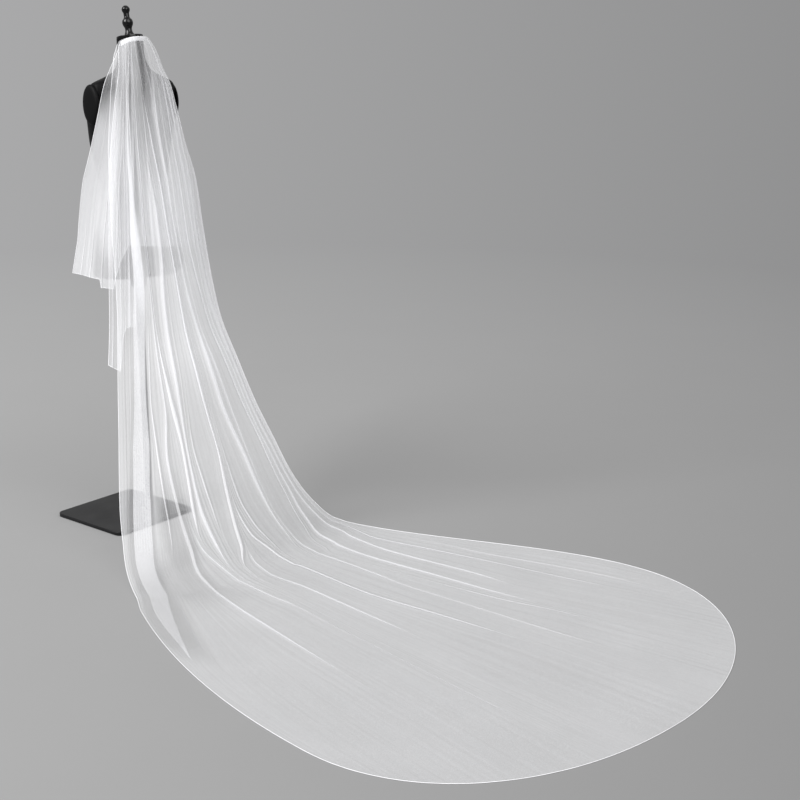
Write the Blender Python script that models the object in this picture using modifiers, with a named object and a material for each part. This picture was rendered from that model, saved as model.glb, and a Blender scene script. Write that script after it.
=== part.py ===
"""Bridal veil of two gathered tulle tiers, worn by a limbless dress form on a pole and base plate.

Metres, +Z up. The origin is where the pole's axis meets the floor. The form looks along -Y
and the train runs back along +Y.
"""
import math

import bmesh
import bpy
from mathutils import Matrix, Vector

# Driving sizes of the stand and form
PLATE_SIDE = 0.330
PLATE_THICK = 0.012
PLATE_CORNER = 0.024
PLATE_EDGE = 0.002
PLATE_CENTRE = (0.078, -0.034)
PLATE_TURN = math.radians(6.2)
POLE_RADIUS = 0.0125
TORSO_BOTTOM = 0.838
COLLAR_RADIUS = 0.026
COLLAR_HEIGHT = 0.045
COLLAR_EDGE = 0.003
ARM_FLAT = 0.149
ARM_PLATE_THICK = 0.012
ARM_PLATE_CENTRE = (0.008, 1.385)
ARM_PLATE_HALF = (0.040, 0.056)
NECK_Y = 0.018
NECK_RADIUS = 0.042
NECK_TOP = 1.594
NECK_LEAN = math.radians(10)
CAP_THICK = 0.006
CAP_EDGE = 0.0015
SEAT = 0.0003

# Driving sizes of the veil
CLOTH = 0.0015
BAND_THICK = 0.0034
BAND_DEEP = 0.014
BAND_REACH = math.radians(74)
CLOTH_TOP = 1.592
LEFT_DROOP = 0.011
SEAM_ON_FLOOR = 0.0300
TRAIN_START = 0.0303
SLANT_FADE_FROM = 1.50
CASCADE_PULL_FROM = 1.57
CASCADE_PULL_OVER = 0.15
CASCADE_NARROW_FROM = 1.50
FOLD_FULL_RADIUS = 0.42
FOLD_FADE = 0.30
COLUMN_STEP = 0.085
CASCADE_STEP = 0.4
LEAST_STEP = 0.012
WIDE_FOLD = 0.08
SHORT_EDGE_POWER = 10
LONG_EDGE_POWER = 2

# Sections through the torso and neck, from below
# height, half width, front depth, back depth, centre y
TORSO_SECTIONS = [
    (TORSO_BOTTOM, 0.148, 0.092, 0.104, 0.000),
    (0.846, 0.156, 0.098, 0.110, 0.000),
    (0.885, 0.162, 0.104, 0.115, 0.000),
    (0.940, 0.154, 0.102, 0.108, 0.000),
    (1.010, 0.128, 0.092, 0.090, 0.000),
    (1.080, 0.110, 0.084, 0.076, 0.001),
    (1.150, 0.115, 0.090, 0.078, 0.003),
    (1.215, 0.126, 0.112, 0.080, 0.005),
    (1.265, 0.134, 0.126, 0.082, 0.007),
    (1.315, 0.145, 0.114, 0.082, 0.009),
    (1.365, 0.156, 0.092, 0.078, 0.010),
    (1.405, 0.161, 0.068, 0.068, 0.012),
    (1.430, 0.150, 0.052, 0.056, 0.016),
    (1.450, 0.124, 0.044, 0.048, 0.021),
    (1.468, 0.092, 0.044, 0.045, 0.026),
    (1.486, 0.064, 0.046, 0.045, 0.027),
    (1.508, 0.050, 0.045, 0.044, 0.024),
    (1.535, 0.0440, 0.0430, 0.0430, 0.020),
    (1.560, NECK_RADIUS, NECK_RADIUS, NECK_RADIUS, NECK_Y),
    (NECK_TOP, NECK_RADIUS, NECK_RADIUS, NECK_RADIUS, NECK_Y),
]
TORSO_SIDES = 32
TORSO_SQUARE = 2.35
NECK_ROUND_FROM = 1.535

# Rings of a domed arm plate: share of its size, share of its thickness
ARM_PLATE_RINGS = [(1.0, 0.0), (1.0, 0.45), (0.93, 0.78), (0.72, 1.0)]
ARM_PLATE_SIDES = 28

# Turned outline of the finial: distance up its axis, radius
FINIAL_PROFILE = [
    (0.0000, 0.0150),
    (0.0035, 0.0155),
    (0.0090, 0.0132),
    (0.0150, 0.0112),
    (0.0210, 0.0108),
    (0.0270, 0.0126),
    (0.0335, 0.0158),
    (0.0410, 0.0172),
    (0.0485, 0.0158),
    (0.0545, 0.0112),
    (0.0590, 0.0090),
    (0.0690, 0.0090),
    (0.0730, 0.0104),
    (0.0780, 0.0126),
    (0.0830, 0.0130),
    (0.0885, 0.0108),
    (0.0925, 0.0066),
    (0.0945, 0.0000),
]

# Hanging sections of the long tier, from the heading down to the floor
# height, side angle right, side angle left, radius right, radius middle, radius left, centre y
LONG_SECTIONS = [
    (1.592, 72.0, 77.0, 0.0520, 0.0520, 0.0520, 0.018),
    (1.585, 71.0, 76.0, 0.0600, 0.0580, 0.0575, 0.018),
    (1.570, 70.0, 75.0, 0.0700, 0.0690, 0.0660, 0.018),
    (1.542, 67.0, 72.0, 0.0850, 0.0850, 0.0820, 0.016),
    (1.500, 63.0, 65.0, 0.1040, 0.1060, 0.1040, 0.012),
    (1.455, 58.0, 60.0, 0.1340, 0.1310, 0.1300, 0.006),
    (1.380, 54.0, 58.0, 0.1500, 0.1520, 0.1520, 0.000),
    (1.275, 51.0, 58.5, 0.1670, 0.1750, 0.1740, 0.000),
    (1.150, 48.0, 56.0, 0.2000, 0.2040, 0.2020, 0.000),
    (1.000, 45.0, 54.0, 0.2190, 0.2230, 0.2220, 0.000),
    (0.850, 43.0, 52.0, 0.2400, 0.2450, 0.2440, 0.000),
    (0.700, 41.0, 51.0, 0.2700, 0.2750, 0.2740, 0.000),
    (0.550, 39.5, 49.5, 0.3260, 0.3350, 0.3300, 0.000),
    (0.400, 38.5, 48.0, 0.3860, 0.3920, 0.3900, 0.000),
    (0.280, 38.0, 47.0, 0.4440, 0.4480, 0.4450, 0.000),
    (0.180, 37.5, 46.0, 0.4930, 0.5000, 0.4980, 0.000),
    (0.100, 37.0, 44.3, 0.5460, 0.5560, 0.5600, 0.000),
    (0.045, 36.5, 42.5, 0.6000, 0.6180, 0.6300, 0.000),
    (0.013, 36.0, 40.5, 0.6450, 0.6740, 0.7000, 0.000),
    (0.000, 35.0, 38.4, 0.7000, 0.7450, 0.7870, 0.000),
]

# Hanging sections of the short tier down to its hem, in the same columns
SHORT_SECTIONS = [
    (1.592, 70.0, 76.0, 0.0466, 0.0466, 0.0466, 0.018),
    (1.585, 70.0, 75.5, 0.0500, 0.0500, 0.0495, 0.018),
    (1.570, 69.0, 75.0, 0.0570, 0.0570, 0.0550, 0.018),
    (1.542, 66.0, 73.0, 0.0690, 0.0700, 0.0720, 0.016),
    (1.500, 62.0, 71.0, 0.0880, 0.0890, 0.1050, 0.012),
    (1.455, 57.0, 69.0, 0.1120, 0.1110, 0.1400, 0.006),
    (1.380, 56.0, 70.0, 0.1280, 0.1300, 0.1650, 0.000),
    (1.275, 56.0, 72.0, 0.1440, 0.1500, 0.2030, 0.000),
    (1.150, 57.0, 76.0, 0.1680, 0.1720, 0.2350, 0.000),
    (1.000, 60.0, 79.0, 0.1880, 0.1900, 0.2620, 0.000),
    (0.850, 64.0, 80.0, 0.2080, 0.2050, 0.2900, 0.000),
]

# Hem height of the short tier by place across it, from -1 at the right side to 1 at the left
SHORT_HEM = [
    (-1.00, 0.880),
    (-0.88, 0.856),
    (-0.74, 0.850),
    (-0.64, 0.905),
    (0.46, 0.940),
    (0.60, 0.905),
    (0.66, 0.800),
    (0.74, 0.815),
    (0.77, 0.848),
    (0.88, 0.856),
    (1.00, 0.880),
]

# Sections of the side cascades: height, radius, outer side angle, inner side angle, centre y
CASCADE_SECTIONS = [
    (1.592, 0.0493, 72.0, 40.0, 0.018),
    (1.585, 0.0538, 71.0, 40.0, 0.018),
    (1.570, 0.0630, 69.0, 40.0, 0.018),
    (1.542, 0.0770, 62.0, 39.0, 0.016),
    (1.500, 0.0972, 55.0, 38.0, 0.012),
    (1.455, 0.1205, 53.0, 37.0, 0.006),
    (1.380, 0.1405, 54.5, 36.5, 0.000),
    (1.275, 0.1610, 57.5, 36.0, 0.000),
    (1.150, 0.1860, 58.5, 36.0, 0.000),
    (1.000, 0.2060, 58.5, 36.5, 0.000),
    (0.850, 0.2290, 58.0, 37.0, 0.000),
    (0.700, 0.2570, 57.0, 38.0, 0.000),
    (0.520, 0.3130, 55.5, 39.0, 0.000),
]
CASCADE_HEM_OUTER = 0.590
CASCADE_HEM_INNER = 0.505
RIGHT_CASCADE_ANGLE = 0.86
RIGHT_CASCADE_RADIUS = 0.975

# Folds: place across, lift, half width, height where it starts, share of the train it runs over
LONG_FOLDS = [
    (-0.930, 0.008, 0.035, 1.30, 0.35),
    (-0.800, 0.012, 0.035, 1.56, 0.60),
    (-0.700, 0.008, 0.028, 1.20, 0.20),
    (-0.600, 0.011, 0.032, 1.50, 0.45),
    (-0.490, 0.010, 0.030, 1.40, 0.35),
    (-0.400, 0.008, 0.025, 0.90, 0.80),
    (-0.300, 0.013, 0.032, 1.54, 0.02),
    (-0.150, 0.009, 0.028, 1.45, 0.75),
    (-0.030, 0.011, 0.030, 0.70, 0.35),
    (0.090, 0.010, 0.028, 1.30, 0.55),
    (0.220, 0.012, 0.032, 1.56, 0.02),
    (0.350, 0.013, 0.032, 1.40, 0.06),
    (0.450, 0.008, 0.025, 1.20, 0.25),
    (0.550, 0.014, 0.036, 1.45, 0.62),
    (0.660, 0.011, 0.030, 1.55, 0.02),
    (0.810, 0.018, 0.085, 1.50, 0.22),
    (0.930, 0.008, 0.030, 1.30, 0.30),
]
SHORT_FOLDS = [
    (-0.860, 0.004, 0.050, 1.50, 0.0),
    (-0.620, 0.004, 0.045, 1.55, 0.0),
    (-0.400, 0.004, 0.050, 1.45, 0.0),
    (-0.180, 0.004, 0.045, 1.55, 0.0),
    (0.060, 0.004, 0.050, 1.50, 0.0),
    (0.280, 0.004, 0.045, 1.55, 0.0),
    (0.470, 0.004, 0.045, 1.45, 0.0),
    (0.850, 0.007, 0.045, 1.45, 0.0),
    (0.945, 0.006, 0.035, 1.35, 0.0),
]
CASCADE_FOLDS = [
    (-0.600, 0.004, 0.220, 1.50, 0.0),
    (0.000, 0.005, 0.200, 1.50, 0.0),
    (0.620, 0.004, 0.200, 1.50, 0.0),
]

# Outline of the train on the floor, one row a side
# side, widest x, y of the widest place, tip y, roundness of the end, how fast the side starts out
TRAIN_LEFT = (1, 0.721, 1.630, 2.180, 2.20, 2.00)
TRAIN_RIGHT = (-1, 0.764, 1.570, 2.180, 2.00, 0.62)
SIDE_SHARE_POWER = 1.5
TRAIN_ROWS = [0.0, 0.07, 0.15, 0.25, 0.36, 0.48, 0.60, 0.72, 0.84, 0.94, 1.0]

# Colours: red, green, blue, roughness, metallic
FINISHES = {
    "plate": (0.035, 0.035, 0.037, 0.45, 0.6),
    "pole": (0.030, 0.030, 0.032, 0.40, 0.7),
    "form": (0.008, 0.008, 0.009, 0.55, 0.0),
    "finial": (0.006, 0.006, 0.007, 0.12, 0.0),
    "tulle": (0.90, 0.90, 0.92, 0.75, 0.0),
    "satin": (0.88, 0.88, 0.90, 0.45, 0.0),
}


def clear_scene():
    for item in list(bpy.data.objects):
        bpy.data.objects.remove(item, do_unlink=True)


def make_collection(name):
    group = bpy.data.collections.new(name)
    bpy.context.scene.collection.children.link(group)
    return group


def make_material(name):
    red, green, blue, roughness, metallic = FINISHES[name]
    material = bpy.data.materials.new(name)
    material.use_nodes = True
    shader = material.node_tree.nodes["Principled BSDF"]
    shader.inputs["Base Color"].default_value = (red, green, blue, 1.0)
    shader.inputs["Roughness"].default_value = roughness
    shader.inputs["Metallic"].default_value = metallic
    return material


def add_object(name, mesh, group, finish):
    """Puts a mesh in the collection as one named piece with its own material."""
    piece = bpy.data.objects.new(name, mesh)
    material = make_material(finish)
    material.name = name + "_" + finish
    mesh.materials.append(material)
    group.objects.link(piece)
    return piece


def smooth(piece, angle=40.0):
    piece.data.shade_smooth()
    piece.data.set_sharp_from_angle(angle=math.radians(angle))


def mesh_from_bmesh(name, bm):
    mesh = bpy.data.meshes.new(name)
    bm.to_mesh(mesh)
    bm.free()
    return mesh


def blend(table, x, column):
    """Reads a column of a table at x, straight between rows. The first column may rise or fall."""
    rising = table[-1][0] > table[0][0]
    rows = table if rising else list(reversed(table))
    if x <= rows[0][0]:
        return rows[0][column]
    for low, high in zip(rows, rows[1:]):
        if x <= high[0]:
            share = (x - low[0]) / (high[0] - low[0])
            return low[column] + (high[column] - low[column]) * share
    return rows[-1][column]


def ease(x):
    x = min(max(x, 0.0), 1.0)
    return x * x * (3.0 - 2.0 * x)


def make_base_plate(group):
    """Square steel plate with rounded corners and a small edge radius."""
    half = PLATE_SIDE / 2
    bm = bmesh.new()
    bmesh.ops.create_cube(bm, size=1.0)
    bmesh.ops.scale(bm, verts=bm.verts, vec=(PLATE_SIDE, PLATE_SIDE, PLATE_THICK))
    upright = [e for e in bm.edges if abs(e.verts[0].co.z - e.verts[1].co.z) > PLATE_THICK / 2]
    bmesh.ops.bevel(bm, geom=upright, offset=PLATE_CORNER, segments=6, profile=0.5, affect="EDGES")
    top = [e for e in bm.edges if all(v.co.z > 0 for v in e.verts) and on_rim(e, half)]
    bmesh.ops.bevel(bm, geom=top, offset=PLATE_EDGE, segments=2, profile=0.5, affect="EDGES")
    plate = add_object("base_plate", mesh_from_bmesh("base_plate", bm), group, "plate")
    plate.location = (PLATE_CENTRE[0], PLATE_CENTRE[1], PLATE_THICK / 2)
    plate.rotation_euler = (0, 0, PLATE_TURN)
    smooth(plate)


def on_rim(edge, half):
    """True for an edge on the plate's upright outside."""
    mid = (edge.verts[0].co + edge.verts[1].co) / 2
    reach = half - PLATE_CORNER
    if abs(mid.x) > half - 1e-5 or abs(mid.y) > half - 1e-5:
        return True
    corner = math.hypot(abs(mid.x) - reach, abs(mid.y) - reach)
    return abs(mid.x) > reach and abs(mid.y) > reach and corner > PLATE_CORNER * 0.9


def make_cylinder(name, group, finish, radius, low, high, sides=32):
    bm = bmesh.new()
    bmesh.ops.create_cone(
        bm, cap_ends=True, segments=sides, radius1=radius, radius2=radius, depth=high - low
    )
    piece = add_object(name, mesh_from_bmesh(name, bm), group, finish)
    piece.location = (0, 0, (low + high) / 2)
    smooth(piece)
    return piece


def make_pole(group):
    low = PLATE_THICK + SEAT
    high = TORSO_BOTTOM - SEAT
    make_cylinder("pole", group, "pole", POLE_RADIUS, low, high)


def make_pole_collar(group):
    """Ring under the torso that clamps it on the pole."""
    inner = POLE_RADIUS + SEAT
    low = TORSO_BOTTOM - SEAT - COLLAR_HEIGHT
    high = TORSO_BOTTOM - SEAT
    outline = [
        (inner, high),
        (COLLAR_RADIUS, high),
        (COLLAR_RADIUS, low + COLLAR_EDGE),
        (COLLAR_RADIUS - COLLAR_EDGE, low),
        (inner, low),
    ]
    turned("pole_collar", group, "pole", outline, closed=True)


def turned(name, group, finish, outline, closed=False, steps=32):
    """Turns an outline of (radius, height) points round Z, its outer side read top to bottom."""
    bm = bmesh.new()
    points = [bm.verts.new((radius, 0, height)) for radius, height in outline]
    pairs = list(zip(points, points[1:]))
    if closed:
        pairs.append((points[-1], points[0]))
    for a, b in pairs:
        bm.edges.new((a, b))
    piece = add_object(name, mesh_from_bmesh(name, bm), group, finish)
    screw = piece.modifiers.new("Turn", "SCREW")
    screw.axis = "Z"
    screw.angle = math.tau
    screw.steps = steps
    screw.render_steps = steps
    screw.use_merge_vertices = True
    screw.merge_threshold = 0.00005
    screw.use_smooth_shade = True
    return piece


def section_point(angle, half_width, front, back, square):
    """Point of a rounded section: a superellipse with its own front and back depths."""
    cos, sin = math.cos(angle), math.sin(angle)
    x = half_width * math.copysign(abs(cos) ** (2 / square), cos)
    depth = back if sin > 0 else front
    y = depth * math.copysign(abs(sin) ** (2 / square), sin)
    return x, y


def make_torso(group):
    """Limbless torso with its neck, lofted through its sections and cut flat at the armholes."""
    bm = bmesh.new()
    rings = []
    for height, half_width, front, back, centre in TORSO_SECTIONS:
        square = 2.0 if height >= NECK_ROUND_FROM else TORSO_SQUARE
        ring = []
        for step in range(TORSO_SIDES):
            angle = math.tau * step / TORSO_SIDES
            x, y = section_point(angle, half_width, front, back, square)
            slant = y * math.tan(NECK_LEAN) if height == NECK_TOP else 0.0
            ring.append(bm.verts.new((x, y + centre, height + slant)))
        rings.append(ring)
    for low, high in zip(rings, rings[1:]):
        for a in range(TORSO_SIDES):
            b = (a + 1) % TORSO_SIDES
            bm.faces.new((low[a], low[b], high[b], high[a]))
    bm.faces.new(list(reversed(rings[0])))
    bm.faces.new(rings[-1])
    for side in (-1, 1):
        cut_flat(bm, Vector((side * ARM_FLAT, 0, 0)), Vector((side, 0, 0)))
    torso = add_object("torso", mesh_from_bmesh("torso", bm), group, "form")
    smooth(torso, 35.0)


def cut_flat(bm, point, normal):
    """Cuts away what lies past a plane and closes the opening with one flat face."""
    cut = bmesh.ops.bisect_plane(
        bm, geom=bm.verts[:] + bm.edges[:] + bm.faces[:], plane_co=point, plane_no=normal, clear_outer=True
    )
    edges = [item for item in cut["geom_cut"] if isinstance(item, bmesh.types.BMEdge)]
    bmesh.ops.contextual_create(bm, geom=edges)
    bmesh.ops.recalc_face_normals(bm, faces=bm.faces)


def make_arm_plates(group):
    """Domed oval covers over the two armholes."""
    y, z = ARM_PLATE_CENTRE
    half_y, half_z = ARM_PLATE_HALF
    for side, name in ((-1, "arm_plate_right"), (1, "arm_plate_left")):
        bm = bmesh.new()
        loops = []
        for scale, rise in ARM_PLATE_RINGS:
            loop = []
            for step in range(ARM_PLATE_SIDES):
                angle = math.tau * step / ARM_PLATE_SIDES
                across = half_y * scale * math.cos(angle)
                up = half_z * scale * math.sin(angle)
                x = side * (ARM_FLAT + SEAT + ARM_PLATE_THICK * rise)
                loop.append(bm.verts.new((x, y + across, z + up)))
            loops.append(loop)
        for inner, outer in zip(loops, loops[1:]):
            for a in range(ARM_PLATE_SIDES):
                b = (a + 1) % ARM_PLATE_SIDES
                bm.faces.new((inner[a], inner[b], outer[b], outer[a]))
        bm.faces.new(loops[0])
        bm.faces.new(loops[-1])
        bmesh.ops.recalc_face_normals(bm, faces=bm.faces)
        smooth(add_object(name, mesh_from_bmesh(name, bm), group, "form"))


def neck_frame(lift):
    """Place on the neck's slanted top: lift is measured along its leaning axis."""
    lean = Matrix.Rotation(NECK_LEAN, 4, "X")
    foot = Matrix.Translation((0, NECK_Y, NECK_TOP))
    return foot @ lean @ Matrix.Translation((0, 0, lift))


def make_neck_cap(group):
    rim = NECK_RADIUS
    outline = [
        (0, CAP_THICK),
        (rim - CAP_EDGE, CAP_THICK),
        (rim, CAP_THICK - CAP_EDGE),
        (rim, 0),
        (0, 0),
    ]
    cap = turned("neck_cap", group, "finial", outline)
    cap.matrix_world = neck_frame(SEAT)


def make_finial(group):
    outline = [(radius, height) for height, radius in reversed(FINIAL_PROFILE)]
    outline.append((0, 0))
    finial = turned("finial", group, "finial", outline, steps=24)
    finial.matrix_world = neck_frame(2 * SEAT + CAP_THICK)


def slant(angle):
    """Height of the cloth's top edge over CLOTH_TOP: the neck's top is higher at the back."""
    return NECK_RADIUS * math.cos(angle) * math.tan(NECK_LEAN)


def make_heading_band(group):
    """Gathering band round the back of the neck, under the neck cap, that both tiers hang from."""
    inner = NECK_RADIUS + SEAT
    outer = inner + BAND_THICK
    steps = 24
    bm = bmesh.new()
    rings = []
    for step in range(steps + 1):
        angle = BAND_REACH * (2 * step / steps - 1)
        top = CLOTH_TOP + slant(angle) - LEFT_DROOP * max(angle / BAND_REACH, 0) ** 2
        foot = top - BAND_DEEP
        ring = []
        for radius, height in ((inner, top), (outer, top), (outer, foot), (inner, foot)):
            point = (radius * math.sin(angle), NECK_Y + radius * math.cos(angle), height)
            ring.append(bm.verts.new(point))
        rings.append(ring)
    for one, two in zip(rings, rings[1:]):
        for a in range(4):
            b = (a + 1) % 4
            bm.faces.new((one[a], one[b], two[b], two[a]))
    bm.faces.new(rings[0])
    bm.faces.new(rings[-1])
    bmesh.ops.recalc_face_normals(bm, faces=bm.faces)
    smooth(add_object("heading_band", mesh_from_bmesh("heading_band", bm), group, "satin"))


def fold_lift(folds, s, height, radius):
    """How far a point stands out of the plain sweep, from the folds that pass near it."""
    lift = 0.0
    for place, tall, half_width, start, run in folds:
        away = abs(s - place) / half_width
        if away >= 1:
            continue
        shape = 0.5 + 0.5 * math.cos(math.pi * away)
        grown = ease((start - height) / FOLD_FADE)
        lift += tall * shape * grown * min(radius / FOLD_FULL_RADIUS, 1.0)
    return lift


def columns_for(folds, step):
    """Places of the grid's columns: at each fold's crest and feet, filled to an even step."""
    marks = {-1.0, 1.0}
    for place, tall, half_width, start, run in folds:
        marks.add(place)
        marks.add(max(place - half_width, -1.0))
        marks.add(min(place + half_width, 1.0))
        if half_width > WIDE_FOLD:
            marks.add(place - half_width / 2)
            marks.add(place + half_width / 2)
    places = []
    for mark in sorted(marks):
        if not places or mark - places[-1] > LEAST_STEP:
            places.append(mark)
    places[-1] = 1.0
    full = [places[0]]
    for place in places[1:]:
        gap = place - full[-1]
        parts = max(1, math.ceil(gap / step))
        start = full[-1]
        full.extend(start + gap * k / parts for k in range(1, parts + 1))
    return full


def hanging_point(sections, folds, s, height, power):
    """Point of a hanging tier at place s across it and at a nominal height."""
    side = blend(sections, height, 2 if s > 0 else 1)
    middle = blend(sections, height, 4)
    edge = blend(sections, height, 5 if s > 0 else 3)
    centre = blend(sections, height, 6)
    radius = middle + (edge - middle) * abs(s) ** power
    radius += fold_lift(folds, s, height, radius)
    angle = math.radians(side) * s
    near_top = ease((height - SLANT_FADE_FROM) / (CLOTH_TOP - SLANT_FADE_FROM))
    lift = slant(angle) - LEFT_DROOP * max(s, 0.0) ** 2
    return Vector((radius * math.sin(angle), centre + radius * math.cos(angle), height + lift * near_top))


def train_end(s):
    """Point of the train's hem, on the outline's rounded end."""
    side, wide, wide_y, tip_y, roundness, outset = TRAIN_LEFT if s > 0 else TRAIN_RIGHT
    turn = math.pi / 2 * (1 - abs(s))
    x = side * wide * math.cos(turn) ** (2 / roundness)
    y = wide_y + (tip_y - wide_y) * math.sin(turn) ** (2 / roundness)
    return Vector((x, y, 0))


def floor_point(s, t):
    """Point of the cloth on the floor: t is 0 where it touches down and 1 at the hem."""
    start = hanging_point(LONG_SECTIONS, [], s, 0.0, LONG_EDGE_POWER)
    end = train_end(s)
    point = start.lerp(end, t)
    outset = (TRAIN_LEFT if s > 0 else TRAIN_RIGHT)[5]
    ahead = (outset - 1) * t * (1 - t) + (2 - outset) * t * t * (1 - t)
    point.x += (end.x - start.x) * ahead * abs(s) ** SIDE_SHARE_POWER
    lift = 0.0
    for place, tall, half_width, top, run in LONG_FOLDS:
        away = abs(s - place) / half_width
        if away < 1 and t < run:
            lift += tall * (0.5 + 0.5 * math.cos(math.pi * away)) * ease((run - t) / (0.4 * run))
    point.z = lift
    return point


def cloth_wall(name, group, rows):
    """Closed wall of cloth over a grid of points, thickened away from the form and the floor."""
    bm = bmesh.new()
    grid = [[bm.verts.new(point) for point in row] for row in rows]
    for upper, lower in zip(grid, grid[1:]):
        for a in range(len(upper) - 1):
            bm.faces.new((upper[a], upper[a + 1], lower[a + 1], lower[a]))
    piece = add_object(name, mesh_from_bmesh(name, bm), group, "tulle")
    wall = piece.modifiers.new("Thickness", "SOLIDIFY")
    wall.thickness = CLOTH
    wall.offset = 1.0
    wall.use_even_offset = False
    smooth(piece, 60.0)
    return piece


def make_long_tier(group):
    """Outer tier: one oval cut, gathered at the heading, swept to the floor and out as a train."""
    places = columns_for(LONG_FOLDS, COLUMN_STEP)
    rows = []
    for section in LONG_SECTIONS[:-1]:
        rows.append([long_point(s, section[0]) for s in places])
    rows.append([floor_point(s, 0.0) for s in places])
    rows.append([floor_point(s, SEAM_ON_FLOOR) for s in places])
    cloth_wall("long_tier", group, rows)
    train = []
    for t in TRAIN_ROWS:
        share = TRAIN_START + (1 - TRAIN_START) * t
        train.append([floor_point(s, share) for s in places])
    cloth_wall("long_tier_train", group, train)


def short_point(s, height):
    return hanging_point(SHORT_SECTIONS, SHORT_FOLDS, s, height, SHORT_EDGE_POWER)


def long_point(s, height):
    return hanging_point(LONG_SECTIONS, LONG_FOLDS, s, height, LONG_EDGE_POWER)


def make_short_tier(group):
    """Inner tier of fingertip length, longer at its sides, with the left side pulled forward."""
    places = columns_for(SHORT_FOLDS, COLUMN_STEP)
    shared = [section[0] for section in SHORT_SECTIONS if section[0] > 1.2]
    rows = [[short_point(s, height) for s in places] for height in shared]
    steps = 6
    for step in range(1, steps + 1):
        row = []
        for s in places:
            hem = blend(SHORT_HEM, s, 1)
            row.append(short_point(s, shared[-1] + (hem - shared[-1]) * step / steps))
        rows.append(row)
    cloth_wall("short_tier", group, rows)


def cascade_point(side, s, height):
    """Point of a side cascade: s is -1 at its inner edge and 1 at its outer edge."""
    radius = blend(CASCADE_SECTIONS, height, 1)
    outer = blend(CASCADE_SECTIONS, height, 2)
    inner = blend(CASCADE_SECTIONS, height, 3)
    centre = blend(CASCADE_SECTIONS, height, 4)
    angle = inner + (outer - inner) * (s + 1) / 2
    if side < 0:
        away = ease((CASCADE_PULL_FROM - height) / CASCADE_PULL_OVER)
        angle *= 1 + (RIGHT_CASCADE_ANGLE - 1) * away
        radius *= 1 + (RIGHT_CASCADE_RADIUS - 1) * ease((CASCADE_NARROW_FROM - height) / FOLD_FADE)
    radius += fold_lift(CASCADE_FOLDS, s, height, radius)
    angle = math.radians(angle) * side
    near_top = ease((height - SLANT_FADE_FROM) / (CLOTH_TOP - SLANT_FADE_FROM))
    droop = LEFT_DROOP * (angle / BAND_REACH) ** 2 if side > 0 else 0.0
    lift = (slant(angle) - droop) * near_top
    return Vector((radius * math.sin(angle), centre + radius * math.cos(angle), height + lift))


def make_cascades(group):
    """Turned-in sides of the veil that hang as a narrow cascade between the two tiers."""
    places = columns_for(CASCADE_FOLDS, CASCADE_STEP)
    shared = [section[0] for section in CASCADE_SECTIONS if section[0] > 1.2]
    steps = 7
    for side, name in ((-1, "side_cascade_right"), (1, "side_cascade_left")):
        order = places if side > 0 else list(reversed(places))
        rows = [[cascade_point(side, s, z) for s in order] for z in shared]
        for step in range(1, steps + 1):
            row = []
            for s in order:
                hem = CASCADE_HEM_INNER + (CASCADE_HEM_OUTER - CASCADE_HEM_INNER) * (s + 1) / 2
                row.append(cascade_point(side, s, shared[-1] + (hem - shared[-1]) * step / steps))
            rows.append(row)
        cloth_wall(name, group, rows)


def main():
    clear_scene()
    group = make_collection("bridal_veil_on_dress_form")
    make_base_plate(group)
    make_pole(group)
    make_pole_collar(group)
    make_torso(group)
    make_arm_plates(group)
    make_neck_cap(group)
    make_finial(group)
    make_heading_band(group)
    make_short_tier(group)
    make_cascades(group)
    make_long_tier(group)


main()
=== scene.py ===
"""Looks of the bridal veil on its dress form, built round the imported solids.

Each tier is one thin sheet. It is laid over its solid's own form in columns that run from the
heading to the hem. Each fold is a table row: where it lies across the tier on its way down, how
far the cloth laps over itself there, and how tall it stands.
"""
import math

import bpy
import numpy as np
from mathutils import Matrix, Vector


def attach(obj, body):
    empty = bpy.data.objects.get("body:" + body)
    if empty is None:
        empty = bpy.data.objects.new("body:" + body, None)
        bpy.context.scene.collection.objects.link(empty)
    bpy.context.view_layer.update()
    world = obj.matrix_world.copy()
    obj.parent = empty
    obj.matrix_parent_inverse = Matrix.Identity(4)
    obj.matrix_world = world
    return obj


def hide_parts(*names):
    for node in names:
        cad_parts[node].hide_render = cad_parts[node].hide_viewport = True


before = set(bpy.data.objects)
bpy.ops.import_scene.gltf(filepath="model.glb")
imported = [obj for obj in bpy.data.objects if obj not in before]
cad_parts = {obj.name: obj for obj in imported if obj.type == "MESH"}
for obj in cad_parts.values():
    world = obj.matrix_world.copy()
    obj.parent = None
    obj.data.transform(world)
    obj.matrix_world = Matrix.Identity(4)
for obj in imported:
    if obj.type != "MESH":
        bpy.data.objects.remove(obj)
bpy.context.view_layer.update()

# Sizes that the solids share, in metres
NECK_Y = 0.018
NECK_RADIUS = 0.042
NECK_TOP = 1.594
NECK_LEAN = math.radians(10)
CAP_THICK = 0.006
SEAT = 0.0003
ARM_FLAT = 0.149
ARM_PLATE_CENTRE = (0.010, 1.391)
ARM_PLATE_HALF = (0.043, 0.063)
ARM_PLATE_THICK = 0.012
BAND_THICK = 0.0034
BAND_DEEP = 0.014
BAND_REACH = math.radians(74)
CLOTH_TOP = 1.592
LEFT_DROOP = 0.011
SLANT_FADE_FROM = 1.50
LONG_EDGE_POWER = 2
SHORT_EDGE_POWER = 10
FLOOR_RUN = 1.4
WALL_MIDDLE = 0.0008

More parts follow.
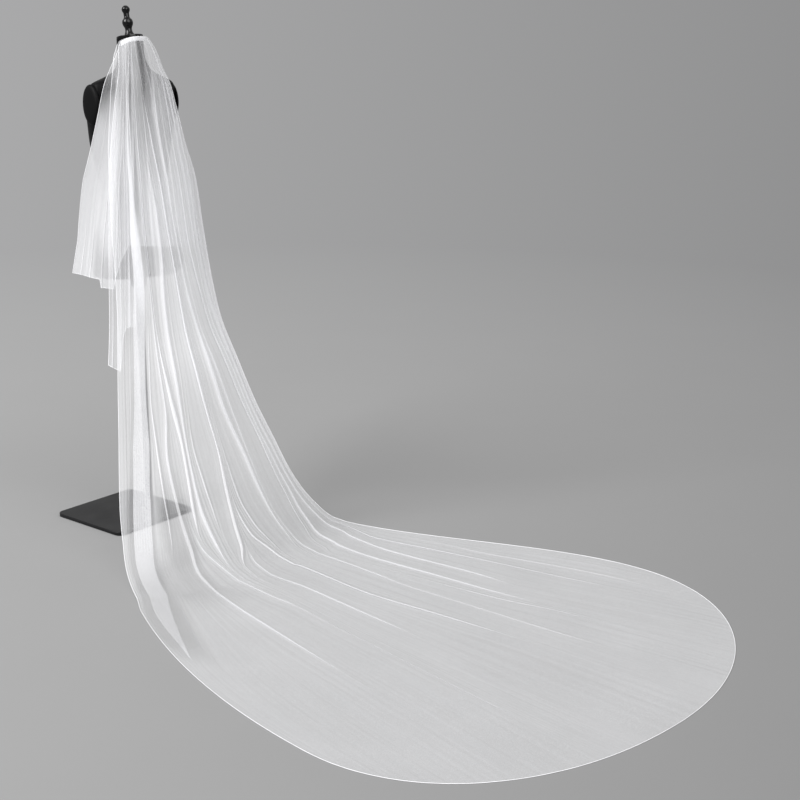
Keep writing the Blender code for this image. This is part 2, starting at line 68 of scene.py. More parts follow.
# Sections through the torso and neck: height, half width, front depth, back depth, centre y
TORSO_SECTIONS = np.array([
    (0.838, 0.148, 0.092, 0.104, 0.000),
    (0.846, 0.156, 0.098, 0.110, 0.000),
    (0.885, 0.162, 0.104, 0.115, 0.000),
    (0.940, 0.154, 0.102, 0.108, 0.000),
    (1.010, 0.128, 0.092, 0.090, 0.000),
    (1.080, 0.110, 0.084, 0.076, 0.001),
    (1.150, 0.115, 0.090, 0.078, 0.003),
    (1.215, 0.126, 0.112, 0.080, 0.005),
    (1.265, 0.134, 0.126, 0.082, 0.007),
    (1.315, 0.145, 0.114, 0.082, 0.009),
    (1.365, 0.156, 0.092, 0.078, 0.010),
    (1.405, 0.161, 0.070, 0.068, 0.012),
    (1.430, 0.161, 0.057, 0.058, 0.015),
    (1.446, 0.156, 0.049, 0.051, 0.018),
    (1.457, 0.146, 0.045, 0.047, 0.020),
    (1.467, 0.122, 0.044, 0.046, 0.023),
    (1.477, 0.096, 0.044, 0.045, 0.026),
    (1.490, 0.068, 0.045, 0.045, 0.026),
    (1.508, 0.052, 0.045, 0.044, 0.024),
    (1.535, 0.0440, 0.0430, 0.0430, 0.020),
    (1.560, 0.0420, 0.0420, 0.0420, 0.018),
    (1.594, 0.0420, 0.0420, 0.0420, 0.018),
])

# Turned outline of the finial: distance up its axis, radius
FINIAL_PROFILE = np.array([
    (0.0000, 0.0150), (0.0035, 0.0155), (0.0090, 0.0132), (0.0150, 0.0112), (0.0210, 0.0108),
    (0.0270, 0.0126), (0.0335, 0.0158), (0.0410, 0.0172), (0.0485, 0.0158), (0.0545, 0.0112),
    (0.0590, 0.0090), (0.0690, 0.0090), (0.0730, 0.0104), (0.0780, 0.0126), (0.0830, 0.0130),
    (0.0885, 0.0108), (0.0925, 0.0066), (0.0945, 0.0000),
])

# Hanging sections of the long tier, from the heading down to the floor
# height, side angle right, side angle left, radius right, radius middle, radius left, centre y
LONG_SECTIONS = np.array([
    (1.592, 72.0, 77.0, 0.0520, 0.0520, 0.0520, 0.018),
    (1.585, 71.0, 76.0, 0.0600, 0.0580, 0.0575, 0.018),
    (1.570, 70.0, 75.0, 0.0700, 0.0690, 0.0660, 0.018),
    (1.542, 67.0, 72.0, 0.0850, 0.0850, 0.0820, 0.016),
    (1.500, 63.0, 65.0, 0.0985, 0.1060, 0.1040, 0.012),
    (1.455, 58.0, 60.0, 0.1235, 0.1290, 0.1300, 0.006),
    (1.380, 54.0, 58.0, 0.1450, 0.1510, 0.1520, 0.000),
    (1.275, 51.0, 58.5, 0.1670, 0.1750, 0.1740, 0.000),
    (1.150, 48.0, 56.0, 0.2000, 0.2040, 0.2020, 0.000),
    (1.000, 45.0, 54.0, 0.2190, 0.2230, 0.2220, 0.000),
    (0.850, 43.0, 52.0, 0.2400, 0.2450, 0.2440, 0.000),
    (0.700, 41.0, 51.0, 0.2700, 0.2750, 0.2740, 0.000),
    (0.550, 39.5, 49.5, 0.3260, 0.3350, 0.3300, 0.000),
    (0.400, 38.5, 48.0, 0.3860, 0.3920, 0.3900, 0.000),
    (0.280, 38.0, 47.0, 0.4440, 0.4480, 0.4450, 0.000),
    (0.180, 37.5, 46.0, 0.4930, 0.5000, 0.4980, 0.000),
    (0.100, 37.0, 44.3, 0.5460, 0.5560, 0.5600, 0.000),
    (0.045, 36.5, 42.5, 0.6000, 0.6180, 0.6300, 0.000),
    (0.013, 36.0, 40.5, 0.6450, 0.6740, 0.7000, 0.000),
    (0.000, 35.0, 38.4, 0.7000, 0.7450, 0.7870, 0.000),
])

# Hanging sections of the short tier, in the same columns
SHORT_SECTIONS = np.array([
    (1.592, 70.0, 76.0, 0.0466, 0.0466, 0.0466, 0.018),
    (1.585, 70.0, 75.5, 0.0500, 0.0500, 0.0495, 0.018),
    (1.570, 69.0, 75.0, 0.0570, 0.0570, 0.0550, 0.018),
    (1.542, 66.0, 73.0, 0.0690, 0.0700, 0.0720, 0.016),
    (1.500, 62.0, 71.0, 0.0880, 0.0890, 0.1050, 0.012),
    (1.455, 57.0, 69.0, 0.1120, 0.1110, 0.1400, 0.006),
    (1.380, 56.0, 70.0, 0.1280, 0.1300, 0.1650, 0.000),
    (1.275, 56.0, 72.0, 0.1440, 0.1500, 0.2030, 0.000),
    (1.150, 57.0, 77.0, 0.1680, 0.1720, 0.2370, 0.000),
    (1.000, 60.0, 82.0, 0.1880, 0.1900, 0.2710, 0.000),
    (0.850, 64.0, 85.0, 0.2080, 0.2050, 0.3050, 0.000),
])

# Hem height of the short tier by place across it
SHORT_HEM = np.array([
    (-1.00, 0.880), (-0.88, 0.856), (-0.74, 0.850), (-0.64, 0.905), (-0.45, 0.935), (0.50, 0.962), (0.60, 0.905),
    (0.67, 0.820), (0.795, 0.824), (0.805, 0.850), (0.88, 0.857), (1.00, 0.880),
])

# Sections of the side cascades: height, radius, outer side angle, inner side angle, centre y
CASCADE_SECTIONS = np.array([
    (1.592, 0.0493, 72.0, 40.0, 0.018),
    (1.585, 0.0538, 71.0, 40.0, 0.018),
    (1.570, 0.0630, 69.0, 40.0, 0.018),
    (1.542, 0.0770, 62.0, 39.0, 0.016),
    (1.500, 0.0972, 55.0, 38.0, 0.012),
    (1.455, 0.1205, 53.0, 37.0, 0.006),
    (1.380, 0.1405, 54.5, 36.5, 0.000),
    (1.275, 0.1610, 57.5, 36.0, 0.000),
    (1.150, 0.1860, 58.5, 36.0, 0.000),
    (1.000, 0.2060, 58.5, 36.5, 0.000),
    (0.850, 0.2290, 58.0, 37.0, 0.000),
    (0.700, 0.2570, 57.0, 38.0, 0.000),
    (0.520, 0.3130, 55.5, 39.0, 0.000),
])
# Hem height of a cascade by place across it, in two steps
CASCADE_HEM = np.array([(-1.0, 0.712), (-0.30, 0.704), (-0.06, 0.676), (0.06, 0.572), (1.0, 0.590)])
RIGHT_CASCADE_ANGLE = 0.86
RIGHT_CASCADE_RADIUS = 0.975
CASCADE_PULL_FROM = 1.57
CASCADE_PULL_OVER = 0.15
CASCADE_NARROW_FROM = 1.50
FOLD_FADE = 0.30

# Train outline: side, widest x, its y, tip y, roundness, how fast the side starts out
TRAIN_LEFT = (1, 0.721, 1.630, 2.180, 2.20, 2.00)
TRAIN_RIGHT = (-1, 0.764, 1.570, 2.180, 2.00, 0.62)
SIDE_SHARE_POWER = 1.5

# Folds of the long tier, in order from its left edge to its right edge.
# A row is: lean of the lap, then stations of (drop from the heading, place across the tier,
# half width of the lap in mm, height of the fold in mm). Drops past 1.592 m are on the floor.
LONG_FOLDS = [
    (1, [(0.00, 0.90, 0, 1), (0.30, 0.88, 2, 3), (0.80, 0.93, 2, 3), (1.00, 0.945, 0, 1),
         (1.35, 0.955, 0, 1), (1.56, 0.975, 0, 0), (1.75, 0.985, 0, 0), (3.00, 0.97, 0, 0)]),
    (1, [(0.00, 0.66, 1, 2), (0.12, 0.70, 2, 3), (0.42, 0.75, 3, 4), (0.80, 0.855, 1, 2),
         (1.00, 0.875, 0, 0), (1.33, 0.90, 0, 0), (1.56, 0.965, 0, 0), (1.75, 0.985, 0, 0),
         (3.00, 0.92, 0, 0)]),
    (-1, [(0.00, 0.60, 1, 2), (0.16, 0.655, 3, 3), (0.30, 0.655, 5, 3), (0.42, 0.66, 8, 4),
         (0.55, 0.665, 12, 5), (0.71, 0.655, 20, 3), (0.87, 0.692, 23, 2), (1.00, 0.725, 23, 2),
         (1.19, 0.763, 27, 2), (1.33, 0.792, 28, 2), (1.42, 0.812, 30, 2), (1.51, 0.845, 32, 2),
         (1.57, 0.868, 30, 2), (1.66, 0.882, 27, 2), (1.80, 0.897, 22, 2), (2.00, 0.91, 10, 1),
         (2.20, 0.93, 0, 0), (3.00, 0.86, 0, 0)]),
    (-1, [(0.00, 0.52, 0, 0), (0.50, 0.545, 0, 0), (0.71, 0.535, 0, 0), (0.85, 0.565, 0, 0),
          (1.00, 0.615, 1, 2), (1.13, 0.642, 2, 3), (1.25, 0.635, 3, 5), (1.43, 0.625, 3, 5),
          (1.50, 0.64, 2, 3), (1.56, 0.675, 0, 0), (1.80, 0.67, 0, 0), (3.00, 0.60, 0, 0)]),
    (1, [(0.00, 0.46, 1, 2), (0.14, 0.53, 2, 2), (0.50, 0.525, 2, 3), (0.75, 0.51, 2, 4),
         (0.98, 0.51, 3, 5), (1.12, 0.505, 3, 5), (1.28, 0.555, 4, 7), (1.43, 0.535, 5, 8),
         (1.52, 0.53, 6, 8), (1.59, 0.56, 5, 7), (1.75, 0.535, 4, 5), (1.97, 0.495, 4, 4),
         (2.20, 0.465, 2, 2), (2.48, 0.435, 0, 0), (3.00, 0.42, 0, 0)]),
    (1, [(0.00, 0.43, 0, 0), (0.30, 0.51, 0, 0), (0.75, 0.495, 0, 0), (1.00, 0.49, 0, 0), (1.30, 0.46, 0, 0),
         (1.45, 0.465, 0, 1), (1.52, 0.455, 2, 3), (1.59, 0.375, 3, 3), (1.75, 0.325, 3, 3),
         (1.89, 0.275, 2, 2), (2.08, 0.24, 0, 0), (3.00, 0.22, 0, 0)]),
    (-1, [(0.00, 0.405, 2, 2), (0.07, 0.455, 3, 3), (0.14, 0.49, 4, 4), (0.33, 0.49, 5, 5),
          (0.55, 0.51, 5, 5), (0.69, 0.50, 5, 6), (0.95, 0.475, 7, 7), (1.10, 0.44, 9, 8),
          (1.25, 0.405, 10, 9), (1.35, 0.41, 8, 8), (1.44, 0.425, 5, 6), (1.50, 0.435, 1, 2),
          (1.60, 0.35, 0, 0), (1.80, 0.29, 0, 0), (3.00, 0.20, 0, 0)]),
    (1, [(0.00, 0.37, 0, 0), (0.30, 0.36, 0, 0), (0.43, 0.34, 1, 2), (0.54, 0.31, 3, 4),
         (0.65, 0.30, 3, 4), (0.81, 0.335, 4, 5), (1.11, 0.35, 5, 6), (1.30, 0.365, 6, 8),
         (1.43, 0.365, 6, 8), (1.52, 0.345, 5, 6), (1.58, 0.335, 1, 2), (1.80, 0.265, 0, 0),
         (3.00, 0.18, 0, 0)]),
    (-1, [(0.00, 0.34, 0, 0), (0.90, 0.22, 0, 0), (1.15, 0.28, 0, 1), (1.25, 0.305, 2, 4),
          (1.36, 0.285, 3, 5), (1.45, 0.27, 2, 3), (1.52, 0.27, 0, 0), (1.80, 0.235, 0, 0),
          (3.00, 0.15, 0, 0)]),
    (-1, [(0.00, 0.305, 2, 2), (0.07, 0.312, 4, 4), (0.17, 0.298, 5, 5), (0.28, 0.255, 6, 6),
          (0.41, 0.212, 6, 6), (0.58, 0.167, 6, 7), (0.72, 0.125, 7, 8), (0.88, 0.10, 8, 9),
          (1.06, 0.095, 9, 10), (1.26, 0.075, 10, 10), (1.36, 0.10, 9, 10), (1.47, 0.135, 8, 9),
          (1.54, 0.175, 6, 7), (1.59, 0.25, 1, 1), (1.80, 0.20, 0, 0), (3.00, 0.12, 0, 0)]),
    (1, [(0.00, 0.26, 0, 0), (0.30, 0.21, 0, 0), (0.60, 0.13, 0, 0), (0.90, 0.065, 0, 0),
         (1.30, 0.06, 0, 0), (1.52, 0.12, 0, 1), (1.60, 0.165, 3, 3), (1.75, 0.125, 4, 3),
         (2.04, 0.105, 3, 3), (2.28, 0.09, 0, 0), (3.00, 0.08, 0, 0)]),
    (-1, [(0.00, 0.24, 0, 0), (0.30, 0.185, 0, 0), (0.60, 0.10, 1, 2), (0.90, 0.035, 1, 2),
          (1.25, 0.04, 1, 2), (1.45, 0.075, 3, 5), (1.52, 0.055, 4, 6), (1.57, -0.02, 5, 5),
          (1.62, -0.055, 5, 5), (1.87, -0.04, 4, 4), (2.16, -0.085, 4, 3), (2.54, -0.12, 0, 0),
          (3.00, -0.12, 0, 0)]),
    (-1, [(0.00, 0.16, 0, 0), (0.30, 0.145, 0, 0), (0.70, 0.03, 0, 0), (1.00, 0.00, 0, 0),
          (1.31, 0.02, 2, 3), (1.41, 0.02, 3, 5), (1.50, -0.02, 3, 4), (1.57, -0.085, 1, 2),
          (1.62, -0.10, 0, 0), (3.00, -0.15, 0, 0)]),
    (1, [(0.00, -0.14, 1, 1), (0.05, -0.08, 1, 1), (0.12, 0.00, 1, 2), (0.19, 0.05, 2, 3),
         (0.30, 0.08, 3, 4), (0.49, 0.06, 4, 5), (0.77, -0.03, 4, 6), (0.94, -0.13, 5, 7),
         (1.13, -0.15, 6, 8), (1.30, -0.23, 6, 8), (1.41, -0.255, 5, 7), (1.54, -0.27, 2, 3),
         (1.60, -0.25, 0, 0), (3.00, -0.20, 0, 0)]),
    (1, [(0.00, -0.24, 0, 0), (0.15, -0.10, 1, 1), (0.50, -0.03, 2, 3), (0.80, -0.14, 2, 4),
         (1.00, -0.24, 3, 5), (1.25, -0.31, 2, 4), (1.50, -0.315, 1, 2), (1.63, -0.30, 3, 3),
         (1.83, -0.26, 3, 3), (1.97, -0.235, 2, 2), (2.20, -0.23, 3, 2), (2.50, -0.225, 2, 2),
         (2.68, -0.235, 0, 0), (3.00, -0.24, 0, 0)]),
    (-1, [(0.00, -0.42, 1, 1), (0.20, -0.27, 3, 3), (0.40, -0.19, 3, 4), (0.60, -0.21, 4, 5),
          (0.84, -0.37, 5, 7), (0.95, -0.44, 6, 8), (1.12, -0.52, 6, 8), (1.30, -0.60, 6, 7),
          (1.44, -0.60, 4, 6), (1.55, -0.51, 2, 4), (1.62, -0.37, 0, 1), (2.00, -0.345, 1, 1),
          (2.22, -0.345, 3, 2), (2.48, -0.37, 2, 2), (2.62, -0.36, 0, 0), (3.00, -0.36, 0, 0)]),
    (1, [(0.00, -0.60, 0, 0), (0.20, -0.45, 2, 3), (0.40, -0.36, 3, 4), (0.74, -0.42, 3, 5),
         (1.00, -0.58, 3, 6), (1.20, -0.65, 4, 6), (1.44, -0.70, 4, 6), (1.54, -0.62, 5, 6),
         (1.62, -0.51, 6, 5), (1.77, -0.45, 5, 4), (2.00, -0.42, 5, 4), (2.27, -0.395, 3, 2),
         (2.42, -0.395, 0, 0), (3.00, -0.42, 0, 0)]),
    (1, [(0.00, -0.74, 1, 1), (0.25, -0.58, 3, 3), (0.50, -0.48, 3, 4), (0.74, -0.50, 3, 5),
         (0.95, -0.67, 4, 6), (1.20, -0.74, 4, 6), (1.44, -0.81, 4, 6), (1.56, -0.80, 4, 5),
         (1.64, -0.71, 5, 5), (1.81, -0.60, 5, 4), (2.13, -0.535, 4, 3), (2.30, -0.50, 0, 0),
         (3.00, -0.52, 0, 0)]),
    (-1, [(0.00, -0.86, 0, 0), (0.30, -0.68, 2, 3), (0.55, -0.57, 3, 4), (0.76, -0.62, 3, 5),
          (0.92, -0.78, 4, 6), (1.18, -0.83, 4, 6), (1.44, -0.90, 3, 5), (1.58, -0.90, 4, 5),
          (1.74, -0.775, 5, 4), (1.95, -0.745, 5, 4), (2.12, -0.715, 4, 3), (2.48, -0.66, 3, 2),
          (2.66, -0.655, 0, 0), (3.00, -0.66, 0, 0)]),
    (1, [(0.00, -0.94, 0, 0), (0.40, -0.80, 2, 3), (0.80, -0.86, 2, 4), (1.20, -0.93, 2, 4),
         (1.50, -0.96, 1, 2), (1.70, -0.92, 0, 0), (2.00, -0.87, 1, 1), (2.20, -0.80, 3, 2),
         (2.62, -0.76, 2, 2), (2.82, -0.74, 0, 0), (3.00, -0.75, 0, 0)]),
]

# Folds of the short tier, as above, with the drop given as a share of its length
SHORT_FOLDS = [
    (1, [(0.0, 0.93, 0, 0), (0.3, 0.94, 0, 0), (0.7, 0.955, 0, 0), (1.0, 0.96, 0, 1)]),
    (-1, [(0.0, 0.82, 0, 1), (0.3, 0.87, 0, 0), (0.7, 0.89, 0, 0), (1.0, 0.90, 0, 1)]),
    (1, [(0.0, 0.66, 1, 1), (0.3, 0.74, 0, 1), (0.7, 0.775, 0, 1), (1.0, 0.785, 1, 2)]),
    (-1, [(0.0, 0.56, 0, 1), (0.3, 0.63, 3, 3), (0.7, 0.64, 5, 5), (1.0, 0.64, 6, 5)]),
    (1, [(0.0, 0.42, 1, 1), (0.3, 0.46, 3, 3), (0.7, 0.46, 5, 5), (1.0, 0.46, 6, 5)]),
    (-1, [(0.0, 0.26, 0, 0), (0.3, 0.24, 1, 2), (0.7, 0.24, 4, 5), (1.0, 0.24, 5, 5)]),
    (1, [(0.0, 0.02, 1, 1), (0.3, 0.02, 2, 3), (0.7, 0.00, 4, 5), (1.0, 0.00, 5, 5)]),
    (-1, [(0.0, -0.22, 0, 1), (0.3, -0.24, 2, 3), (0.7, -0.26, 4, 5), (1.0, -0.26, 5, 5)]),
    (1, [(0.0, -0.46, 1, 1), (0.3, -0.50, 3, 3), (0.7, -0.52, 5, 5), (1.0, -0.53, 6, 5)]),
    (-1, [(0.0, -0.66, 0, 1), (0.3, -0.70, 3, 3), (0.7, -0.74, 7, 5), (1.0, -0.75, 8, 6)]),
    (1, [(0.0, -0.86, 1, 1), (0.3, -0.89, 3, 3), (0.7, -0.90, 5, 4), (1.0, -0.90, 6, 5)]),
]

# Folds of a side cascade, from its outer edge to its inner edge
CASCADE_FOLDS = [
    (1, [(0.0, 0.66, 0, 1), (0.3, 0.66, 1, 2), (0.7, 0.66, 2, 3), (1.0, 0.66, 3, 4)]),
    (-1, [(0.0, 0.08, 1, 1), (0.3, 0.06, 2, 3), (0.7, 0.05, 4, 4), (1.0, 0.05, 5, 5)]),
    (1, [(0.0, -0.52, 0, 1), (0.3, -0.55, 2, 2), (0.7, -0.56, 4, 3), (1.0, -0.56, 5, 4)]),
]

# A lap seen from its end: across in half widths of the lap and in flanks, up in heights
LAP = np.array([
    (-1.00, -0.80, 0.00), (-0.80, 0.00, 0.01), (0.00, 0.00, 0.02), (1.00, -0.35, 0.06),
    (1.00, 0.00, 0.22), (1.00, -0.26, 0.42), (0.10, 0.00, 0.50), (-1.00, 0.38, 0.56),
    (-1.00, 0.00, 0.76), (-1.00, 0.26, 0.95), (-0.05, 0.00, 1.00), (1.00, -0.38, 0.92),
    (1.00, 0.14, 0.60), (1.00, 0.90, 0.00),
])
FLANK = 0.005
LAP_LEAST = 0.0022
LEAST_APART = 0.002
KEPT_APART = 0.92
LEFT_DRAWN_IN = ((0.0, 0.6, 0.85, 1.5, 1.7, 3.0), (0.0, 0.0, 0.028, 0.024, 0.0, 0.0))
LAP_SPREAD = 0.003
RIDGE_WIDE = 0.014
RIDGE_SHARE = 0.4
TORSO_SQUARE = 2.35
REST_GAP = 0.003


def curve(xs, ys, x):
    """Smooth reading of ys at x, without overshoot. The xs rise."""
    xs, ys = np.asarray(xs, float), np.asarray(ys, float)
    step = np.diff(xs)
    rise = np.diff(ys) / step
    slope = np.zeros(len(xs))
    slope[0], slope[-1] = rise[0], rise[-1]
    same = rise[:-1] * rise[1:] > 0
    both = 2 * rise[:-1] * rise[1:] / np.where(same, rise[:-1] + rise[1:], 1)
    slope[1:-1] = np.where(same, both, 0)
    x = np.clip(x, xs[0], xs[-1])
    at = np.clip(np.searchsorted(xs, x) - 1, 0, len(xs) - 2)
    t = (x - xs[at]) / step[at]
    return (
        ys[at] * (1 + 2 * t) * (1 - t) ** 2
        + ys[at + 1] * t * t * (3 - 2 * t)
        + step[at] * (slope[at] * t * (1 - t) ** 2 - slope[at + 1] * t * t * (1 - t))
    )


def read(table, height, column):
    """A column of a table of sections, which run from the top down, at the heights given."""
    return curve(table[::-1, 0], table[::-1, column], height)


def ease(x):
    x = np.clip(x, 0, 1)
    return x * x * (3 - 2 * x)


def slant(angle):
    return NECK_RADIUS * np.cos(angle) * math.tan(NECK_LEAN)


def near_top(height):
    return ease((height - SLANT_FADE_FROM) / (CLOTH_TOP - SLANT_FADE_FROM))


def hanging(sections, s, height, power):
    """Points of a hanging tier at places s across it."""
    left = s > 0
    side = np.where(left, read(sections, height, 2), read(sections, height, 1))
    middle = read(sections, height, 4)
    edge = np.where(left, read(sections, height, 5), read(sections, height, 3))
    centre = read(sections, height, 6)
    radius = middle + (edge - middle) * np.abs(s) ** power
    angle = np.radians(side) * s
    lift = (slant(angle) - LEFT_DROOP * np.maximum(s, 0) ** 2) * near_top(height)
    return np.stack([radius * np.sin(angle), centre + radius * np.cos(angle), height + lift], -1)


def train_end(s):
    """Points of the train's hem."""
    turn = math.pi / 2 * (1 - np.abs(s))
    x = np.zeros_like(s)
    y = np.zeros_like(s)
    for side, wide, wide_y, tip_y, roundness, outset in (TRAIN_LEFT, TRAIN_RIGHT):
        here = s > 0 if side > 0 else s <= 0
        x = np.where(here, side * wide * np.maximum(np.cos(turn), 0) ** (2 / roundness), x)
        y = np.where(here, wide_y + (tip_y - wide_y) * np.maximum(np.sin(turn), 0) ** (2 / roundness), y)
    return np.stack([x, y, np.zeros_like(s)], -1)


def long_form(s, drop):
    """The long tier's plain form: hanging down to the floor, then out over it as the train."""
    down = hanging(LONG_SECTIONS, s, CLOTH_TOP - np.minimum(drop, CLOTH_TOP), LONG_EDGE_POWER)
    start = hanging(LONG_SECTIONS, s, np.zeros_like(s), LONG_EDGE_POWER)
    t = np.clip((drop - CLOTH_TOP) / FLOOR_RUN, 0, 1)
    end = train_end(s)
    flat = start + (end - start) * t[..., None]
    outset = np.where(s > 0, TRAIN_LEFT[5], TRAIN_RIGHT[5])
    ahead = (outset - 1) * t * (1 - t) + (2 - outset) * t * t * (1 - t)
    flat[..., 0] += (end - start)[..., 0] * ahead * np.abs(s) ** SIDE_SHARE_POWER
    return np.where((drop > CLOTH_TOP)[..., None], flat, down)


def short_form(s, drop):
    """The short tier's plain form. The drop is a share of the way to the hem."""
    hem = np.interp(s, SHORT_HEM[:, 0], SHORT_HEM[:, 1])
    return hanging(SHORT_SECTIONS, s, CLOTH_TOP - drop * (CLOTH_TOP - hem), SHORT_EDGE_POWER)


def cascade_form(side):
    def form(s, drop):
        place = s * side
        hem = np.interp(place, CASCADE_HEM[:, 0], CASCADE_HEM[:, 1])
        height = CLOTH_TOP - drop * (CLOTH_TOP - hem)
        radius = read(CASCADE_SECTIONS, height, 1)
        outer = read(CASCADE_SECTIONS, height, 2)
        inner = read(CASCADE_SECTIONS, height, 3)
        centre = read(CASCADE_SECTIONS, height, 4)
        angle = inner + (outer - inner) * (place + 1) / 2
        if side < 0:
            away = ease((CASCADE_PULL_FROM - height) / CASCADE_PULL_OVER)
            angle = angle * (1 + (RIGHT_CASCADE_ANGLE - 1) * away)
            narrow = ease((CASCADE_NARROW_FROM - height) / FOLD_FADE)
            radius = radius * (1 + (RIGHT_CASCADE_RADIUS - 1) * narrow)
        angle = np.radians(angle) * side
        droop = LEFT_DROOP * (angle / BAND_REACH) ** 2 if side > 0 else 0.0
        lift = (slant(angle) - droop) * near_top(height)
        return np.stack([radius * np.sin(angle), centre + radius * np.cos(angle), height + lift], -1)
    return form


def stations(form, length, counts):
    """Rows down the tier: counts says how many lie in each stretch of its middle line's length."""
    fine = np.linspace(0, length, 4000)
    line = form(np.zeros_like(fine), fine)
    run = np.concatenate([[0], np.cumsum(np.linalg.norm(np.diff(line, axis=0), axis=1))])
    marks = []
    for (start, count), (stop, _) in zip(counts, counts[1:]):
        marks.extend(np.linspace(start, stop, count, endpoint=False) * run[-1])
    marks.append(run[-1])
    return np.interp(marks, run, fine)


def layout(folds, rows, form, between, ends, calm):
    """Places and heights of all columns in all rows, and for each column whether it lies between the folds (1) or
    in a lap (0).

    Between folds the columns are spread evenly. Across a fold they follow the lap, so that the
    cloth runs forward, back and forward again, one layer over another. calm lowers the folds by
    drop: where they start at the heading, and where the cloth lies on the floor.
    """
    folds = folds[::-1]
    high = len(rows)
    step = 1e-3
    even = np.linspace(-1, 1, len(LAP))
    middles, halves, aways, ups, reaches = [], [], [], [], []
    for lean, stops in folds:
        drops, places, wide, tall = (np.array(c, float) for c in zip(*stops))
        place = curve(drops, places, rows)
        across = form(place + step, rows) - form(place - step, rows)
        metric = np.linalg.norm(across, axis=1) / (2 * step)
        lap = curve(drops, wide, rows) / 1000
        flank = np.minimum(lap, FLANK)
        spread = np.clip(0.3 * lap, LAP_LEAST, LAP_SPREAD)
        shape = LAP if lean > 0 else LAP[::-1] * (-1, -1, 1)
        away = np.outer(lap, shape[:, 0]) + np.outer(flank, shape[:, 1]) + np.outer(spread, even)
        if middles:
            place = np.maximum(place, middles[-1] + LEAST_APART / metric)
        middles.append(place)
        halves.append((lap + flank + spread) / metric)
        aways.append(away / metric[:, None])
        ups.append(curve(drops, tall, rows) / 1000 * np.interp(rows, *calm))
        reaches.append(np.maximum(RIDGE_WIDE, lap) / metric)
    paths = []
    for i, (lean, stops) in enumerate(folds):
        fit = np.ones(high)
        for j in (i - 1, i + 1):
            if 0 <= j < len(folds):
                room = np.abs(middles[j] - middles[i])
                fit = np.minimum(fit, KEPT_APART * room / (halves[i] + halves[j]))
        shape = LAP if lean > 0 else LAP[::-1] * (-1, -1, 1)
        x = middles[i][:, None] + aways[i] * fit[:, None]
        up = ups[i] * np.minimum(1, 0.4 + 0.6 * fit)
        paths.append((x, np.outer(up, shape[:, 2]), middles[i], reaches[i], up))
    blocks, lifts, inside = [], [], []
    last = np.full(high, -1.0)
    for number in range(len(paths) + 1):
        first_place = last
        next_place = paths[number][0][:, 0] if number < len(paths) else np.full(high, 1.0)
        count = ends if number in (0, len(paths)) else between
        share = (np.arange(count) + (0 if number == 0 else 1)) / (count + (0 if number == 0 else 1))
        if number == len(paths):
            share = (np.arange(count) + 1) / count
        gap = np.maximum(next_place - first_place, 0.002)
        blocks.append(first_place[:, None] + gap[:, None] * share)
        lifts.append(np.zeros((high, count)))
        inside.append(np.ones(count))
        if number < len(paths):
            blocks.append(paths[number][0])
            lifts.append(paths[number][1])
            inside.append(np.zeros(len(LAP)))
            last = paths[number][0][:, -1]
    places = np.concatenate(blocks, 1)
    lift = np.concatenate(lifts, 1)
    for x, tall, place, reach, up in paths:
        away = np.abs(places - place[:, None]) / reach[:, None]
        lift += (up * RIDGE_SHARE)[:, None] * np.exp(-away ** 2)
    return places, lift, np.concatenate(inside)


def ripples(inside, rows, rng, reach, waves=(7, 11, 17)):
    """Uneven fine gathers that run down the tier. They fade out beside the laps."""
    count = len(inside)
    column = np.arange(count)
    calm = np.convolve(inside, np.ones(7) / 7, mode="same")
    total = np.zeros((len(rows), count))
    for wave in waves:
        size = np.interp(column, np.arange(0, count + 24, 24), rng.uniform(0.35, 1.0, count // 24 + 2)[:len(np.arange(0, count + 24, 24))])
        phase = rng.uniform(0, math.tau)
        wander = rng.uniform(0.4, 1.1) * np.sin(rows * rng.uniform(1.5, 3.0) + rng.uniform(0, math.tau))
        total += size * np.sin(column * math.tau / wave + phase + wander[:, None]) / len(waves)
    return total * calm ** 2 * reach[:, None]


def streaks(count, rng):
    """How much closer than the rest each column is gathered, from -1 to 1."""
    mixed = np.zeros(count)
    for reach, share in ((13, 0.4), (29, 0.35), (67, 0.25)):
        window = np.hanning(reach) / np.hanning(reach).sum()
        raw = np.convolve(rng.uniform(0, 1, count + 2 * reach), window, mode="same")[reach:-reach]
        mixed += share * (2 * (raw - raw.min()) / np.ptp(raw) - 1)
    return mixed


def closeness(close, gaps, places, share, drops):
    """Number of layers that the fine gathers amount to, at each column and row.

    close is a table of (share of the length, layers, how uneven), gaps are stretches where the
    gathers part, as stations of (drop, place, half width, how open).
    """
    at, layers, uneven = (np.interp(share, [c[0] for c in close], [c[k] for c in close]) for k in (0, 1, 2))
    amount = np.broadcast_to(layers[:, None], places.shape).copy()
    for stops in gaps:
        drop, place, half, open_by = (np.array(c, float) for c in zip(*stops))
        middle, half, open_by = (np.interp(drops, drop, c)[:, None] for c in (place, half, open_by))
        away = np.clip((np.abs(places - middle) / half - GAP_FLAT) / (1 - GAP_FLAT), 0, 1)
        amount *= 1 - open_by * (1 - ease(away))
    return amount, uneven[:, None]


def normals(form, places, rows):
    """Outward normals of the plain form at the columns' places."""
    drop = np.broadcast_to(rows[:, None], places.shape)
    step = 1e-3
    across = form(places + step, drop) - form(places - step, drop)
    down = form(places, drop + step) - form(places, np.maximum(drop - step, 0))
    normal = np.cross(across, down)
    normal /= np.maximum(np.linalg.norm(normal, axis=-1, keepdims=True), 1e-12)
    return normal


